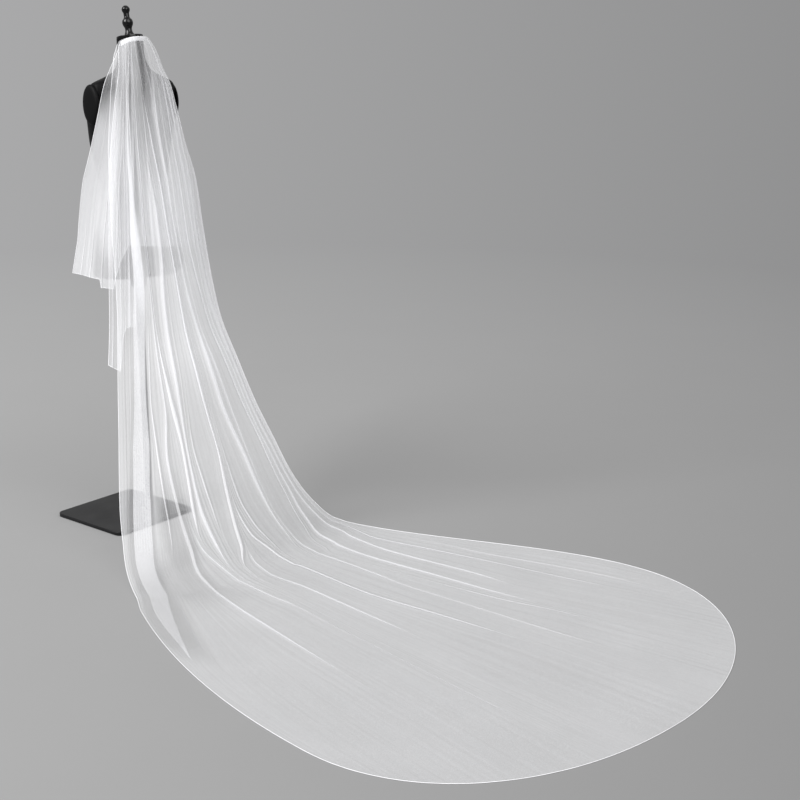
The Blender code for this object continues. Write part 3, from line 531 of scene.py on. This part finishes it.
def clear_of_torso(points):
    """Moves cloth out to where it just rests on the torso."""
    x, y, z = (points[..., k].copy() for k in range(3))
    half, front, back, centre = (curve(TORSO_SECTIONS[:, 0], TORSO_SECTIONS[:, k], z) for k in (1, 2, 3, 4))
    y = y - centre
    depth = np.where(y > 0, back, front) + REST_GAP
    reach = (np.abs(x) / (half + REST_GAP)) ** TORSO_SQUARE + (np.abs(y) / depth) ** TORSO_SQUARE
    out = np.where(z > TORSO_SECTIONS[0, 0], np.maximum(reach, 1e-6) ** (-1 / TORSO_SQUARE), 1)
    out = np.maximum(out, 1)
    return np.stack([x * out, y * out + centre, z], -1)


def grid_mesh(name, points, layers, cut):
    """A sheet over a grid of points, with how gathered it is and its place in the cut."""
    high, wide = points.shape[:2]
    index = np.arange(high * wide).reshape(high, wide)
    faces = np.stack([index[:-1, :-1], index[1:, :-1], index[1:, 1:], index[:-1, 1:]], -1).reshape(-1, 4)
    mesh = bpy.data.meshes.new(name)
    mesh.from_pydata(points.reshape(-1, 3).tolist(), [], faces.tolist())
    flat = cut.reshape(-1, 2)[faces.ravel()]
    mesh.uv_layers.new(name="cut").data.foreach_set("uv", flat.astype(np.float32).ravel())
    mesh.attributes.new("layers", "FLOAT", "POINT").data.foreach_set(
        "value", layers.astype(np.float32).ravel()
    )
    mesh.shade_smooth()
    piece = bpy.data.objects.new(name, mesh)
    bpy.context.scene.collection.objects.link(piece)
    return piece


def sheet_of(name, form, length, counts, folds, between, ends, calm, reach, close, gaps, seed, full):
    """Builds one tier. reach is a table of (share of the length, size of the fine gathers)."""
    rng = np.random.default_rng(seed)
    rows = stations(form, length, counts)
    places, lift, inside = layout(folds, rows, form, between, ends, calm)
    places = np.clip(places, -1, 1)
    share = rows / length
    drawn = np.interp(rows, *LEFT_DRAWN_IN)[:, None]
    places = places - drawn * ease((places - 0.8) / 0.2)
    size = np.interp(share, [r[0] for r in reach], [r[1] for r in reach])
    lift = lift + ripples(inside, rows, rng, size) + WALL_MIDDLE + size[:, None] * 0.7
    layers, uneven = closeness(close, gaps, places, share, rows)
    layers = layers * (1 + uneven * streaks(places.shape[1], rng))
    drop = np.broadcast_to(rows[:, None], places.shape)
    points = form(places, drop) + normals(form, places, rows) * lift[..., None]
    points = clear_of_torso(points)
    points[..., 2] = np.maximum(points[..., 2], 0.0004)
    run = np.concatenate([[0], np.cumsum(np.linalg.norm(np.diff(points[:, points.shape[1] // 2], axis=0), axis=1))])
    across = np.linspace(-0.5, 0.5, places.shape[1]) * full
    cut = np.stack(np.broadcast_arrays(across[None, :], run[:, None]), -1)
    return grid_mesh(name, points, layers, cut), points


def tube(name, path, radius, sides=6):
    """A round cord of thread along a path, closed at its ends."""
    path = np.asarray(path)
    ahead = np.gradient(path, axis=0)
    ahead /= np.maximum(np.linalg.norm(ahead, axis=1, keepdims=True), 1e-9)
    up = np.tile([0.0, 0.0, 1.0], (len(path), 1))
    steep = np.abs(ahead[:, 2]) > 0.9
    up[steep] = [1.0, 0.0, 0.0]
    for i in range(1, len(path)):
        up[i] = up[i - 1] - ahead[i] * (up[i - 1] @ ahead[i])
        up[i] /= max(np.linalg.norm(up[i]), 1e-9)
    side = np.cross(ahead, up)
    turn = np.arange(sides) * math.tau / sides
    ring = np.cos(turn)[None, :, None] * side[:, None] + np.sin(turn)[None, :, None] * up[:, None]
    points = path[:, None] + ring * radius
    points[..., 2] = np.maximum(points[..., 2], 0.0002)
    index = np.arange(len(path) * sides).reshape(len(path), sides)
    around = np.roll(index, -1, axis=1)
    faces = np.stack([index[:-1], around[:-1], around[1:], index[1:]], -1).reshape(-1, 4).tolist()
    faces.append(index[0][::-1].tolist())
    faces.append(index[-1].tolist())
    mesh = bpy.data.meshes.new(name)
    mesh.from_pydata(points.reshape(-1, 3).tolist(), [], faces)
    mesh.shade_smooth()
    piece = bpy.data.objects.new(name, mesh)
    bpy.context.scene.collection.objects.link(piece)
    return piece


def edge_path(points, skip_top=0):
    """Down the left edge, round the hem and up the right edge."""
    return np.concatenate([points[skip_top:-1, -1], points[-1, ::-1][::1], points[-2:(skip_top - 1 if skip_top else None):-1, 0]])


# Materials
def nodes_of(name):
    material = bpy.data.materials.new(name)
    material.use_nodes = True
    tree = material.node_tree
    return material, tree, tree.nodes["Principled BSDF"], tree.nodes["Material Output"]


def add(tree, kind, **settings):
    node = tree.nodes.new(kind)
    for key, value in settings.items():
        setattr(node, key, value)
    return node


def math_node(tree, operation, one, two=None):
    node = add(tree, "ShaderNodeMath", operation=operation)
    for socket, value in zip(node.inputs, (one, two)):
        if isinstance(value, bpy.types.NodeSocket):
            tree.links.new(value, socket)
        elif value is not None:
            socket.default_value = value
    return node.outputs[0]


def span(tree, value, low, high, to_low, to_high):
    node = add(tree, "ShaderNodeMapRange")
    tree.links.new(value, node.inputs["Value"])
    for key, number in (("From Min", low), ("From Max", high), ("To Min", to_low), ("To Max", to_high)):
        node.inputs[key].default_value = number
    return node.outputs["Result"]


def noise(tree, vector, scale, detail=2.0):
    node = add(tree, "ShaderNodeTexNoise")
    tree.links.new(vector, node.inputs["Vector"])
    node.inputs["Scale"].default_value = scale
    node.inputs["Detail"].default_value = detail
    return node.outputs["Fac"]


def stretched(tree, vector, scale):
    node = add(tree, "ShaderNodeMapping")
    tree.links.new(vector, node.inputs["Vector"])
    node.inputs["Scale"].default_value = scale
    return node.outputs["Vector"]


NET_CELL = 0.0016
NET_OPEN = 0.30
TULLE_WHITE = (0.93, 0.93, 0.945, 1.0)


def tulle(name, cover, thread=0.0):
    """Soft net: open between its threads, brighter and closer where it is gathered."""
    material, tree, shader, output = nodes_of(name)
    place = add(tree, "ShaderNodeUVMap", uv_map="cut").outputs["UV"]
    cells = add(tree, "ShaderNodeTexVoronoi", feature="DISTANCE_TO_EDGE")
    tree.links.new(place, cells.inputs["Vector"])
    cells.inputs["Scale"].default_value = 1 / NET_CELL
    cells.inputs["Randomness"].default_value = 0.55
    strand = span(tree, cells.outputs["Distance"], 0.05, 0.22, 1.0, 0.0)
    grain = noise(tree, stretched(tree, place, (160.0, 1.6, 1.0)), 1.0, 3.0)
    cloud = noise(tree, place, 3.0)
    one = span(tree, grain, 0.3, 0.7, cover * 0.88, cover * 1.12)
    one = math_node(tree, "MULTIPLY", one, span(tree, cloud, 0.3, 0.7, 0.94, 1.06))
    net = span(tree, strand, 0.0, 1.0, 0.88, 1.27)
    one = math_node(tree, "MULTIPLY", one, net)
    layers = add(tree, "ShaderNodeAttribute", attribute_name="layers").outputs["Fac"]
    through = math_node(tree, "POWER", math_node(tree, "SUBTRACT", 1.0, one), layers)
    solid = math_node(tree, "SUBTRACT", 1.0, through)
    tint = add(tree, "ShaderNodeMix", data_type="RGBA")
    tint.inputs["A"].default_value = TULLE_WHITE
    tint.inputs["B"].default_value = (0.86, 0.865, 0.885, 1.0)
    tree.links.new(span(tree, grain, 0.35, 0.8, 0.0, 1.0), tint.inputs["Factor"])
    tree.links.new(tint.outputs["Result"], shader.inputs["Base Color"])
    shader.inputs["Roughness"].default_value = 0.75
    shader.inputs["Sheen Weight"].default_value = 0.25
    shader.inputs["Sheen Roughness"].default_value = 0.4
    bump = add(tree, "ShaderNodeBump")
    bump.inputs["Strength"].default_value = 0.15
    bump.inputs["Distance"].default_value = 0.0003
    tree.links.new(strand, bump.inputs["Height"])
    tree.links.new(bump.outputs["Normal"], shader.inputs["Normal"])
    glow = add(tree, "ShaderNodeBsdfTranslucent")
    tree.links.new(tint.outputs["Result"], glow.inputs["Color"])
    cloth = add(tree, "ShaderNodeMixShader")
    cloth.inputs["Fac"].default_value = 0.42
    tree.links.new(shader.outputs[0], cloth.inputs[1])
    tree.links.new(glow.outputs[0], cloth.inputs[2])
    clear = add(tree, "ShaderNodeBsdfTransparent")
    mix = add(tree, "ShaderNodeMixShader")
    tree.links.new(solid, mix.inputs["Fac"])
    tree.links.new(clear.outputs[0], mix.inputs[1])
    tree.links.new(cloth.outputs[0], mix.inputs[2])
    tree.links.new(mix.outputs[0], output.inputs["Surface"])
    return material


def solid_finish(name, colour, rough, uneven, grain, depth, shine=0.5, sheen=0.0, warp=(1, 1, 1)):
    """An opaque finish: colour and roughness vary a little, over a fine raised grain."""
    material, tree, shader, output = nodes_of(name)
    place = add(tree, "ShaderNodeTexCoord").outputs["Object"]
    broad = noise(tree, place, 9.0, 4.0)
    fine = noise(tree, stretched(tree, place, warp), grain, 2.0)
    tint = add(tree, "ShaderNodeMix", data_type="RGBA")
    tint.inputs["A"].default_value = (*[c * (1 - uneven) for c in colour], 1.0)
    tint.inputs["B"].default_value = (*[c * (1 + uneven) for c in colour], 1.0)
    tree.links.new(span(tree, broad, 0.3, 0.7, 0.0, 1.0), tint.inputs["Factor"])
    tree.links.new(tint.outputs["Result"], shader.inputs["Base Color"])
    tree.links.new(span(tree, broad, 0.3, 0.7, rough * 0.88, min(rough * 1.12, 1.0)), shader.inputs["Roughness"])
    shader.inputs["Specular IOR Level"].default_value = shine
    shader.inputs["Sheen Weight"].default_value = sheen
    bump = add(tree, "ShaderNodeBump")
    bump.inputs["Strength"].default_value = 0.5
    bump.inputs["Distance"].default_value = depth
    tree.links.new(fine, bump.inputs["Height"])
    tree.links.new(bump.outputs["Normal"], shader.inputs["Normal"])
    return material


def paint(piece, material):
    piece.data.materials.clear()
    piece.data.materials.append(material)


# The stand and form
def loft(name, rings, close_low=True, close_high=True):
    """A closed skin over rings of points."""
    high, wide = rings.shape[:2]
    index = np.arange(high * wide).reshape(high, wide)
    around = np.roll(index, -1, axis=1)
    faces = np.stack([index[:-1], around[:-1], around[1:], index[1:]], -1).reshape(-1, 4).tolist()
    if close_low:
        faces.append(index[0][::-1].tolist())
    if close_high:
        faces.append(index[-1].tolist())
    mesh = bpy.data.meshes.new(name)
    mesh.from_pydata(rings.reshape(-1, 3).tolist(), [], faces)
    mesh.shade_smooth()
    mesh.set_sharp_from_angle(angle=math.radians(38))
    piece = bpy.data.objects.new(name, mesh)
    bpy.context.scene.collection.objects.link(piece)
    return piece


def make_torso():
    table = TORSO_SECTIONS
    heights = np.concatenate([
        np.linspace(0.838, 0.846, 5, endpoint=False), np.linspace(0.846, 1.40, 60, endpoint=False),
        np.linspace(1.40, 1.56, 34, endpoint=False), np.linspace(1.56, NECK_TOP, 5),
    ])
    turn = np.arange(96) * math.tau / 96
    rings = []
    for height in heights:
        half, front, back, centre = (float(curve(table[:, 0], table[:, k], height)) for k in (1, 2, 3, 4))
        square = TORSO_SQUARE + (2 - TORSO_SQUARE) * float(ease((height - 1.486) / 0.049))
        cos, sin = np.cos(turn), np.sin(turn)
        x = half * np.sign(cos) * np.abs(cos) ** (2 / square)
        y = np.where(sin > 0, back, front) * np.sign(sin) * np.abs(sin) ** (2 / square)
        z = height + y * math.tan(NECK_LEAN) * max(0.0, (height - 1.56) / (NECK_TOP - 1.56))
        rings.append(np.stack([np.clip(x, -ARM_FLAT, ARM_FLAT), y + centre, z], -1))
    return loft("form_torso", np.array(rings))


def turned(name, outline, lean_from, steps=64):
    """Turns an outline of (height, radius) round the neck's leaning axis."""
    lean = Matrix.Translation((0, NECK_Y, NECK_TOP)) @ Matrix.Rotation(NECK_LEAN, 4, "X")
    lean = lean @ Matrix.Translation((0, 0, lean_from))
    turn = np.arange(steps) * math.tau / steps
    rings = np.stack([
        np.outer(outline[:, 1], np.cos(turn)), np.outer(outline[:, 1], np.sin(turn)),
        np.repeat(outline[:, :1], steps, axis=1),
    ], -1)
    piece = loft(name, rings)
    piece.data.transform(lean)
    return piece


def make_finial():
    fine = np.linspace(0, FINIAL_PROFILE[-1, 0], 90)
    radius = np.maximum(curve(FINIAL_PROFILE[:, 0], FINIAL_PROFILE[:, 1], fine), 0.0004)
    radius[fine > 0.0925] = 0.0066 * np.sqrt(np.maximum(1 - ((fine[fine > 0.0925] - 0.0925) / 0.002) ** 2, 0.004))
    return turned("finial_turned", np.stack([fine, radius], -1), 2 * SEAT + CAP_THICK)


def make_neck_cap():
    edge = 0.0015
    rim = [(0.0, NECK_RADIUS - 0.0003), (0.0003, NECK_RADIUS)]
    for step in range(7):
        angle = math.pi / 2 * step / 6
        rim.append((CAP_THICK - edge + edge * math.sin(angle), NECK_RADIUS - edge + edge * math.cos(angle)))
    rim.append((CAP_THICK, NECK_RADIUS * 0.5))
    return turned("neck_cap_disc", np.array(rim), SEAT)


def make_arm_plate(side, name):
    """A shallow dome with a rolled rim."""
    steps = 72
    turn = np.arange(steps) * math.tau / steps
    y, z = ARM_PLATE_CENTRE
    outline = ((1.0, 0.0), (1.0, 0.2), (0.98, 0.42), (0.94, 0.6), (0.87, 0.75), (0.76, 0.87), (0.62, 0.94), (0.45, 0.98), (0.25, 1.0))
    rings = []
    for scale, rise in outline:
        rings.append(np.stack([
            np.full(steps, side * (ARM_FLAT + SEAT + ARM_PLATE_THICK * rise)),
            y + ARM_PLATE_HALF[0] * scale * np.cos(turn) * side,
            z + ARM_PLATE_HALF[1] * scale * np.sin(turn),
        ], -1))
    return loft(name, np.array(rings))


def make_heading():
    """Gathered band round the back of the neck, with a small ruffle along its top."""
    around, depth = 520, 22
    angle = np.linspace(-BAND_REACH, BAND_REACH, around)
    rng = np.random.default_rng(11)
    wave = np.interp(np.arange(around), np.arange(0, around, 4), rng.uniform(-1, 1, len(np.arange(0, around, 4))))
    wave = 0.5 * wave + 0.5 * np.sin(np.arange(around) * math.tau / 9.0)
    top = CLOTH_TOP + slant(angle) - LEFT_DROOP * np.maximum(angle / BAND_REACH, 0) ** 2
    inner = NECK_RADIUS + SEAT
    rings = []
    for step in range(depth):
        turn = math.tau * step / depth
        bulge = 0.5 + 0.5 * math.cos(turn)
        pinch = 1 - 0.25 * math.exp(-((math.sin(turn)) / 0.2) ** 2) * (bulge > 0.5)
        radius = inner + BAND_THICK * bulge * pinch + 0.00035 * wave * (bulge > 0.1)
        height = top - BAND_DEEP / 2 + BAND_DEEP / 2 * math.copysign(abs(math.sin(turn)) ** 0.5, math.sin(turn))
        rings.append(np.stack([radius * np.sin(angle), NECK_Y + radius * np.cos(angle), height], -1))
    rings = np.array(rings).transpose(1, 0, 2)
    return loft("heading_gathers", rings)


body = "root"
form_cloth = solid_finish("form_jersey", (0.0012, 0.0012, 0.0014), 0.50, 0.25, 900.0, 0.0003, shine=0.09, warp=(1, 1, 0.35))
gloss_black = solid_finish("black_gloss", (0.0020, 0.0020, 0.0024), 0.14, 0.15, 60.0, 0.00005, shine=0.3)
plate_black = solid_finish("black_powder_coat", (0.0040, 0.0040, 0.0044), 0.45, 0.18, 1400.0, 0.00012, shine=0.25)
pole_black = solid_finish("black_satin_paint", (0.015, 0.015, 0.016), 0.32, 0.15, 500.0, 0.00005, shine=0.4, warp=(1, 1, 0.05))
satin_white = solid_finish("white_satin", (0.66, 0.66, 0.68), 0.45, 0.04, 700.0, 0.0002, sheen=0.3)
thread_white = solid_finish("white_thread", (0.80, 0.80, 0.82), 0.60, 0.05, 2500.0, 0.0002, sheen=0.2)
long_net = tulle("tulle_long", 0.28)
short_net = tulle("tulle_short", 0.28)

for node, finish in (("base_plate", plate_black), ("pole", pole_black), ("pole_collar", pole_black)):
    paint(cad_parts[node], finish)

for piece, node, finish, place in (
    (make_torso(), "torso", form_cloth, "form"),
    (make_finial(), "finial", gloss_black, "finial"),
    (make_neck_cap(), "neck_cap", gloss_black, "finial"),
    (make_arm_plate(-1, "arm_cover_right"), "arm_plate_right", form_cloth, "form"),
    (make_arm_plate(1, "arm_cover_left"), "arm_plate_left", form_cloth, "form"),
    (make_heading(), "heading_band", satin_white, "satin"),
):
    paint(piece, finish)
    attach(piece, body)
    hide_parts(node)

# The veil
LONG_COUNTS = [(0.0, 22), (0.035, 26), (0.12, 62), (0.46, 36), (0.62, 30), (1.0, 0)]
LONG_REACH = [(0.0, 0.0005), (0.02, 0.0008), (0.08, 0.0011), (0.20, 0.0016), (0.40, 0.0020),
              (0.50, 0.0018), (0.56, 0.0010), (0.70, 0.0005), (1.0, 0.0004)]
# Share of the length, layers, how uneven
LONG_CLOSE = [(0.0, 1.1, 0.12), (0.04, 1.05, 0.12), (0.10, 1.5, 0.12), (0.17, 2.1, 0.15), (0.25, 2.4, 0.12),
              (0.33, 2.2, 0.12), (0.40, 1.8, 0.12), (0.47, 1.45, 0.10), (0.53, 1.2, 0.05),
              (0.62, 1.35, 0.04), (1.0, 1.38, 0.04)]
# Gathers that part: drop, place, half width, how open. Less than 0 is closer.
LONG_GAPS = [
    [(0.00, 0.10, 0.18, 0.65), (0.05, 0.10, 0.20, 0.65), (0.10, 0.14, 0.19, 0.62), (0.15, 0.21, 0.15, 0.60),
     (0.22, 0.24, 0.10, 0.42), (0.32, 0.22, 0.08, 0.15), (0.50, 0.18, 0.08, 0.0)],
    [(0.00, 0.52, 0.045, 0.40), (0.08, 0.54, 0.05, 0.20), (0.15, 0.575, 0.05, 0.85), (0.22, 0.58, 0.045, 0.80),
     (0.31, 0.56, 0.04, 0.60), (0.50, 0.575, 0.035, 0.40), (0.73, 0.52, 0.045, 0.25), (1.03, 0.58, 0.035, 0.20),
     (1.20, 0.60, 0.035, 0.0)],
    [(0.08, -0.25, 0.55, 0.0), (0.16, -0.25, 0.60, -0.3), (0.22, -0.25, 0.60, -0.4), (0.40, 0.00, 0.45, -0.2),
     (0.54, 0.06, 0.50, -0.85), (0.74, 0.04, 0.50, -0.85), (0.90, 0.04, 0.46, -0.35),
     (1.15, 0.02, 0.44, 0.0)],
    [(0.00, 0.88, 0.24, 0.2), (0.20, 0.88, 0.24, 0.5), (0.40, 0.88, 0.24, 0.65), (0.70, 0.90, 0.24, 0.62), (0.90, 0.92, 0.22, 0.5), (1.20, 0.94, 0.18, 0.25),
     (1.40, 0.95, 0.18, 0.0), (1.60, 0.97, 0.14, 0.0)],
    [(0.00, 0.97, 0.04, 0.3), (0.09, 0.95, 0.06, 0.2), (0.15, 0.95, 0.08, 0.85), (0.22, 0.985, 0.06, 0.75),
     (0.30, 0.99, 0.05, 0.2), (0.38, 0.97, 0.04, 0.0)],
    [(0.20, 0.655, 0.08, 0.0), (0.35, 0.655, 0.09, 0.30), (0.62, 0.66, 0.10, 0.15), (0.87, 0.69, 0.105, 0.53),
     (1.20, 0.765, 0.115, 0.50), (1.50, 0.845, 0.12, 0.45), (1.62, 0.875, 0.13, 0.55), (1.80, 0.895, 0.14, 0.62),
     (2.00, 0.91, 0.12, 0.6), (2.20, 0.91, 0.10, 0.0)],
    [(0.50, 0.62, 0.12, 0.0), (0.58, 0.62, 0.13, -0.6), (0.73, 0.60, 0.13, -0.6), (0.85, 0.60, 0.12, 0.0)],
    # Painted shade: here the gathers are opened so the sheet lets more of the grey floor through and reads darker,
    # standing in for the shadow of the standing folds where the train touches down.
    [(1.50, 0.70, 0.16, 0.0), (1.62, 0.62, 0.20, 0.35), (1.76, 0.55, 0.20, 0.0)],
    [(1.30, 0.56, 0.10, 0.0), (1.42, 0.56, 0.14, 0.45), (1.52, 0.58, 0.14, 0.45), (1.62, 0.60, 0.10, 0.0)],
]
GAP_FLAT = 0.5
# Drops, and how tall the folds are there
LONG_CALM = ((0.0, 0.30, 1.40, 1.65, 2.99), (0.5, 0.85, 0.75, 0.42, 0.42))
SHORT_CALM = ((0.0, 0.4, 1.0), (0.5, 1.0, 1.0))
SHORT_COUNTS = [(0.0, 16), (0.08, 46), (1.0, 0)]
SHORT_REACH = [(0.0, 0.0003), (0.1, 0.0006), (0.5, 0.0010), (1.0, 0.0011)]
SHORT_CLOSE = [(0.0, 0.75, 0.1), (0.1, 0.7, 0.1), (0.3, 1.1, 0.1), (0.6, 1.4, 0.08), (1.0, 1.4, 0.06)]
SHORT_GAPS = [
    [(0.00, 0.12, 0.11, 0.7), (0.15, 0.18, 0.12, 0.7), (0.30, 0.27, 0.10, 0.5), (0.70, 0.25, 0.10, 0.0)],
    [(0.00, 0.52, 0.045, 0.4), (0.20, 0.60, 0.055, 0.8), (0.30, 0.60, 0.055, 0.7), (0.45, 0.53, 0.045, 0.3),
     (0.60, 0.50, 0.045, 0.0)],
    [(0.15, 0.97, 0.045, 0.0), (0.24, 0.97, 0.055, 0.3), (0.34, 0.97, 0.055, 0.0)],
    [(0.20, 0.86, 0.22, 0.0), (0.38, 0.86, 0.22, -3.0), (0.75, 0.86, 0.22, -3.4), (1.00, 0.88, 0.22, -3.2)],
    [(0.76, 0.82, 0.08, 0.0), (0.90, 0.785, 0.10, 0.45), (1.00, 0.775, 0.12, 0.5)],
    [(0.60, 0.05, 0.45, 0.0), (0.75, 0.05, 0.45, -0.6), (1.00, 0.05, 0.45, -0.6)],
]
CASCADE_CLOSE = [(0.0, 0.5, 0.08), (0.1, 0.45, 0.1), (0.3, 0.65, 0.1), (0.6, 0.95, 0.1), (1.0, 1.1, 0.08)]

tiers = (
    ("veil_long_tier", long_form, CLOTH_TOP + FLOOR_RUN, LONG_COUNTS, LONG_FOLDS, 12, 12, LONG_CALM, LONG_REACH,
     LONG_CLOSE, LONG_GAPS, 5, 3.0, ("long_tier", "long_tier_train"), long_net, (2.0, 3.2), 3.9),
    ("veil_short_tier", short_form, 1.0, SHORT_COUNTS, SHORT_FOLDS, 12, 10, SHORT_CALM, SHORT_REACH,
     SHORT_CLOSE, SHORT_GAPS, 6, 1.6, ("short_tier",), short_net, (0.80, 0.74), 0.45),
    ("veil_cascade_left", cascade_form(1), 1.0, SHORT_COUNTS, CASCADE_FOLDS, 14, 10, SHORT_CALM, SHORT_REACH,
     CASCADE_CLOSE, [], 7, 0.5, ("side_cascade_left",), short_net, (0.20, 1.08), 0.11),
    ("veil_cascade_right", cascade_form(-1), 1.0, SHORT_COUNTS, CASCADE_FOLDS, 14, 10, SHORT_CALM, SHORT_REACH,
     CASCADE_CLOSE, [], 8, 0.5, ("side_cascade_right",), short_net, (0.20, 1.08), 0.11),
)
HEM_RADIUS = 0.0006
for name, *how, nodes, net, flat, area in tiers:
    piece, points = sheet_of(name, *how)
    paint(piece, net)
    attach(piece, body)
    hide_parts(*nodes)
    hem = tube(name + "_edge", edge_path(points, 2), HEM_RADIUS)
    paint(hem, thread_white)
    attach(hem, body)

# Floor, light and camera
FLOOR_ALBEDO = 0.217
# Painted light: the floor's colour and the far backdrop's glow run from lighter on the left of the camera's view to
# darker on its right, as the key light's falloff would make them.
FLOOR_PAINTED_FALLOFF = (1.11, 0.82)
FAR_PAINTED_FALLOFF = (1.22, 0.87)
FAR_GREY = 0.327
SKY_GREY = 0.65
EYE = (2.6435, 3.8763, 1.65)
TO_THE_RIGHT = (-0.7071, 0.7071, 0.0)
VIEW_EDGE = 0.28


def make_stage():
    """One wide pale floor that reaches the horizon. Far off it turns into a glowing backdrop. Both carry painted
    light: lighter toward the left of the camera's view and darker toward its right.
    """
    mesh = bpy.data.meshes.new("studio_floor")
    steps, radius = 96, 60.0
    turn = [math.tau * k / steps for k in range(steps)]
    low = [(radius * math.cos(a), radius * math.sin(a), -0.0005) for a in turn]
    high = [(x, y, 12.0) for x, y, z in low]
    wall = [(k, (k + 1) % steps, steps + (k + 1) % steps, steps + k) for k in range(steps)]
    mesh.from_pydata(low + high, [], [list(range(steps))] + wall)
    floor = bpy.data.objects.new("studio_floor", mesh)
    bpy.context.scene.collection.objects.link(floor)
    material, tree, shader, output = nodes_of("studio_grey_painted_falloff")
    place = add(tree, "ShaderNodeTexCoord").outputs["Object"]
    # Painted light: the floor's colour is lighter toward the left of the view and darker toward the right.
    tint = add(tree, "ShaderNodeMix", data_type="RGBA")
    tint.inputs["A"].default_value = (*[FLOOR_ALBEDO * FLOOR_PAINTED_FALLOFF[0]] * 3, 1.0)
    tint.inputs["B"].default_value = (*[FLOOR_ALBEDO * FLOOR_PAINTED_FALLOFF[1]] * 3, 1.0)
    tree.links.new(tint.outputs["Result"], shader.inputs["Base Color"])
    shader.inputs["Roughness"].default_value = 0.9
    shader.inputs["Specular IOR Level"].default_value = 0.1
    offset = add(tree, "ShaderNodeVectorMath", operation="SUBTRACT")
    tree.links.new(place, offset.inputs[0])
    offset.inputs[1].default_value = EYE
    dot = add(tree, "ShaderNodeVectorMath", operation="DOT_PRODUCT")
    tree.links.new(offset.outputs[0], dot.inputs[0])
    dot.inputs[1].default_value = TO_THE_RIGHT
    reach = add(tree, "ShaderNodeVectorMath", operation="LENGTH")
    tree.links.new(offset.outputs[0], reach.inputs[0])
    sideways = math_node(tree, "DIVIDE", dot.outputs["Value"], reach.outputs["Value"])
    grain = span(tree, noise(tree, place, 2.0), 0.3, 0.7, -0.02, 0.02)
    across = span(tree, sideways, -VIEW_EDGE, VIEW_EDGE, 0.0, 1.0)
    tree.links.new(math_node(tree, "ADD", across, grain), tint.inputs["Factor"])
    far = add(tree, "ShaderNodeEmission")
    # Painted light: the far backdrop's glow is likewise stronger on the left of the view and weaker on the right.
    tree.links.new(span(tree, sideways, -VIEW_EDGE, VIEW_EDGE, *FAR_PAINTED_FALLOFF), far.inputs["Strength"])
    far.inputs["Color"].default_value = (FAR_GREY, FAR_GREY, FAR_GREY * 1.01, 1.0)
    length = add(tree, "ShaderNodeVectorMath", operation="LENGTH")
    tree.links.new(place, length.inputs[0])
    mix = add(tree, "ShaderNodeMixShader")
    tree.links.new(span(tree, length.outputs["Value"], 1.6, 6.0, 0.0, 1.0), mix.inputs["Fac"])
    tree.links.new(shader.outputs[0], mix.inputs[1])
    tree.links.new(far.outputs[0], mix.inputs[2])
    tree.links.new(mix.outputs[0], output.inputs["Surface"])
    paint(floor, material)


def sun_light(name, toward, strength, spread):
    """Soft light from far away, which falls off nowhere."""
    light = bpy.data.lights.new(name, "SUN")
    light.energy = strength
    light.angle = math.radians(spread)
    lamp = bpy.data.objects.new(name, light)
    lamp.rotation_euler = Vector(toward).to_track_quat("Z", "Y").to_euler()
    bpy.context.scene.collection.objects.link(lamp)


make_stage()
world = bpy.data.worlds.new("studio")
world.use_nodes = True
world.node_tree.nodes["Background"].inputs["Color"].default_value = (SKY_GREY, SKY_GREY, SKY_GREY, 1.0)
world.node_tree.nodes["Background"].inputs["Strength"].default_value = 1.0
bpy.context.scene.world = world
sun_light("key", (0.92, -0.15, 0.68), 4.5, 40.0)
sun_light("fill", (0.14, 0.95, 0.66), 1.85, 50.0)

camera = bpy.data.cameras.new("camera")
camera.lens = 63.0
camera.sensor_width = 36.0
eye = bpy.data.objects.new("camera", camera)
eye.location = EYE
eye.rotation_euler = (math.radians(74.8), 0.0, math.radians(135.0))
bpy.context.scene.collection.objects.link(eye)
scene = bpy.context.scene
scene.camera = eye
scene.view_settings.view_transform = "Standard"
scene.cycles.transparent_max_bounces = 64
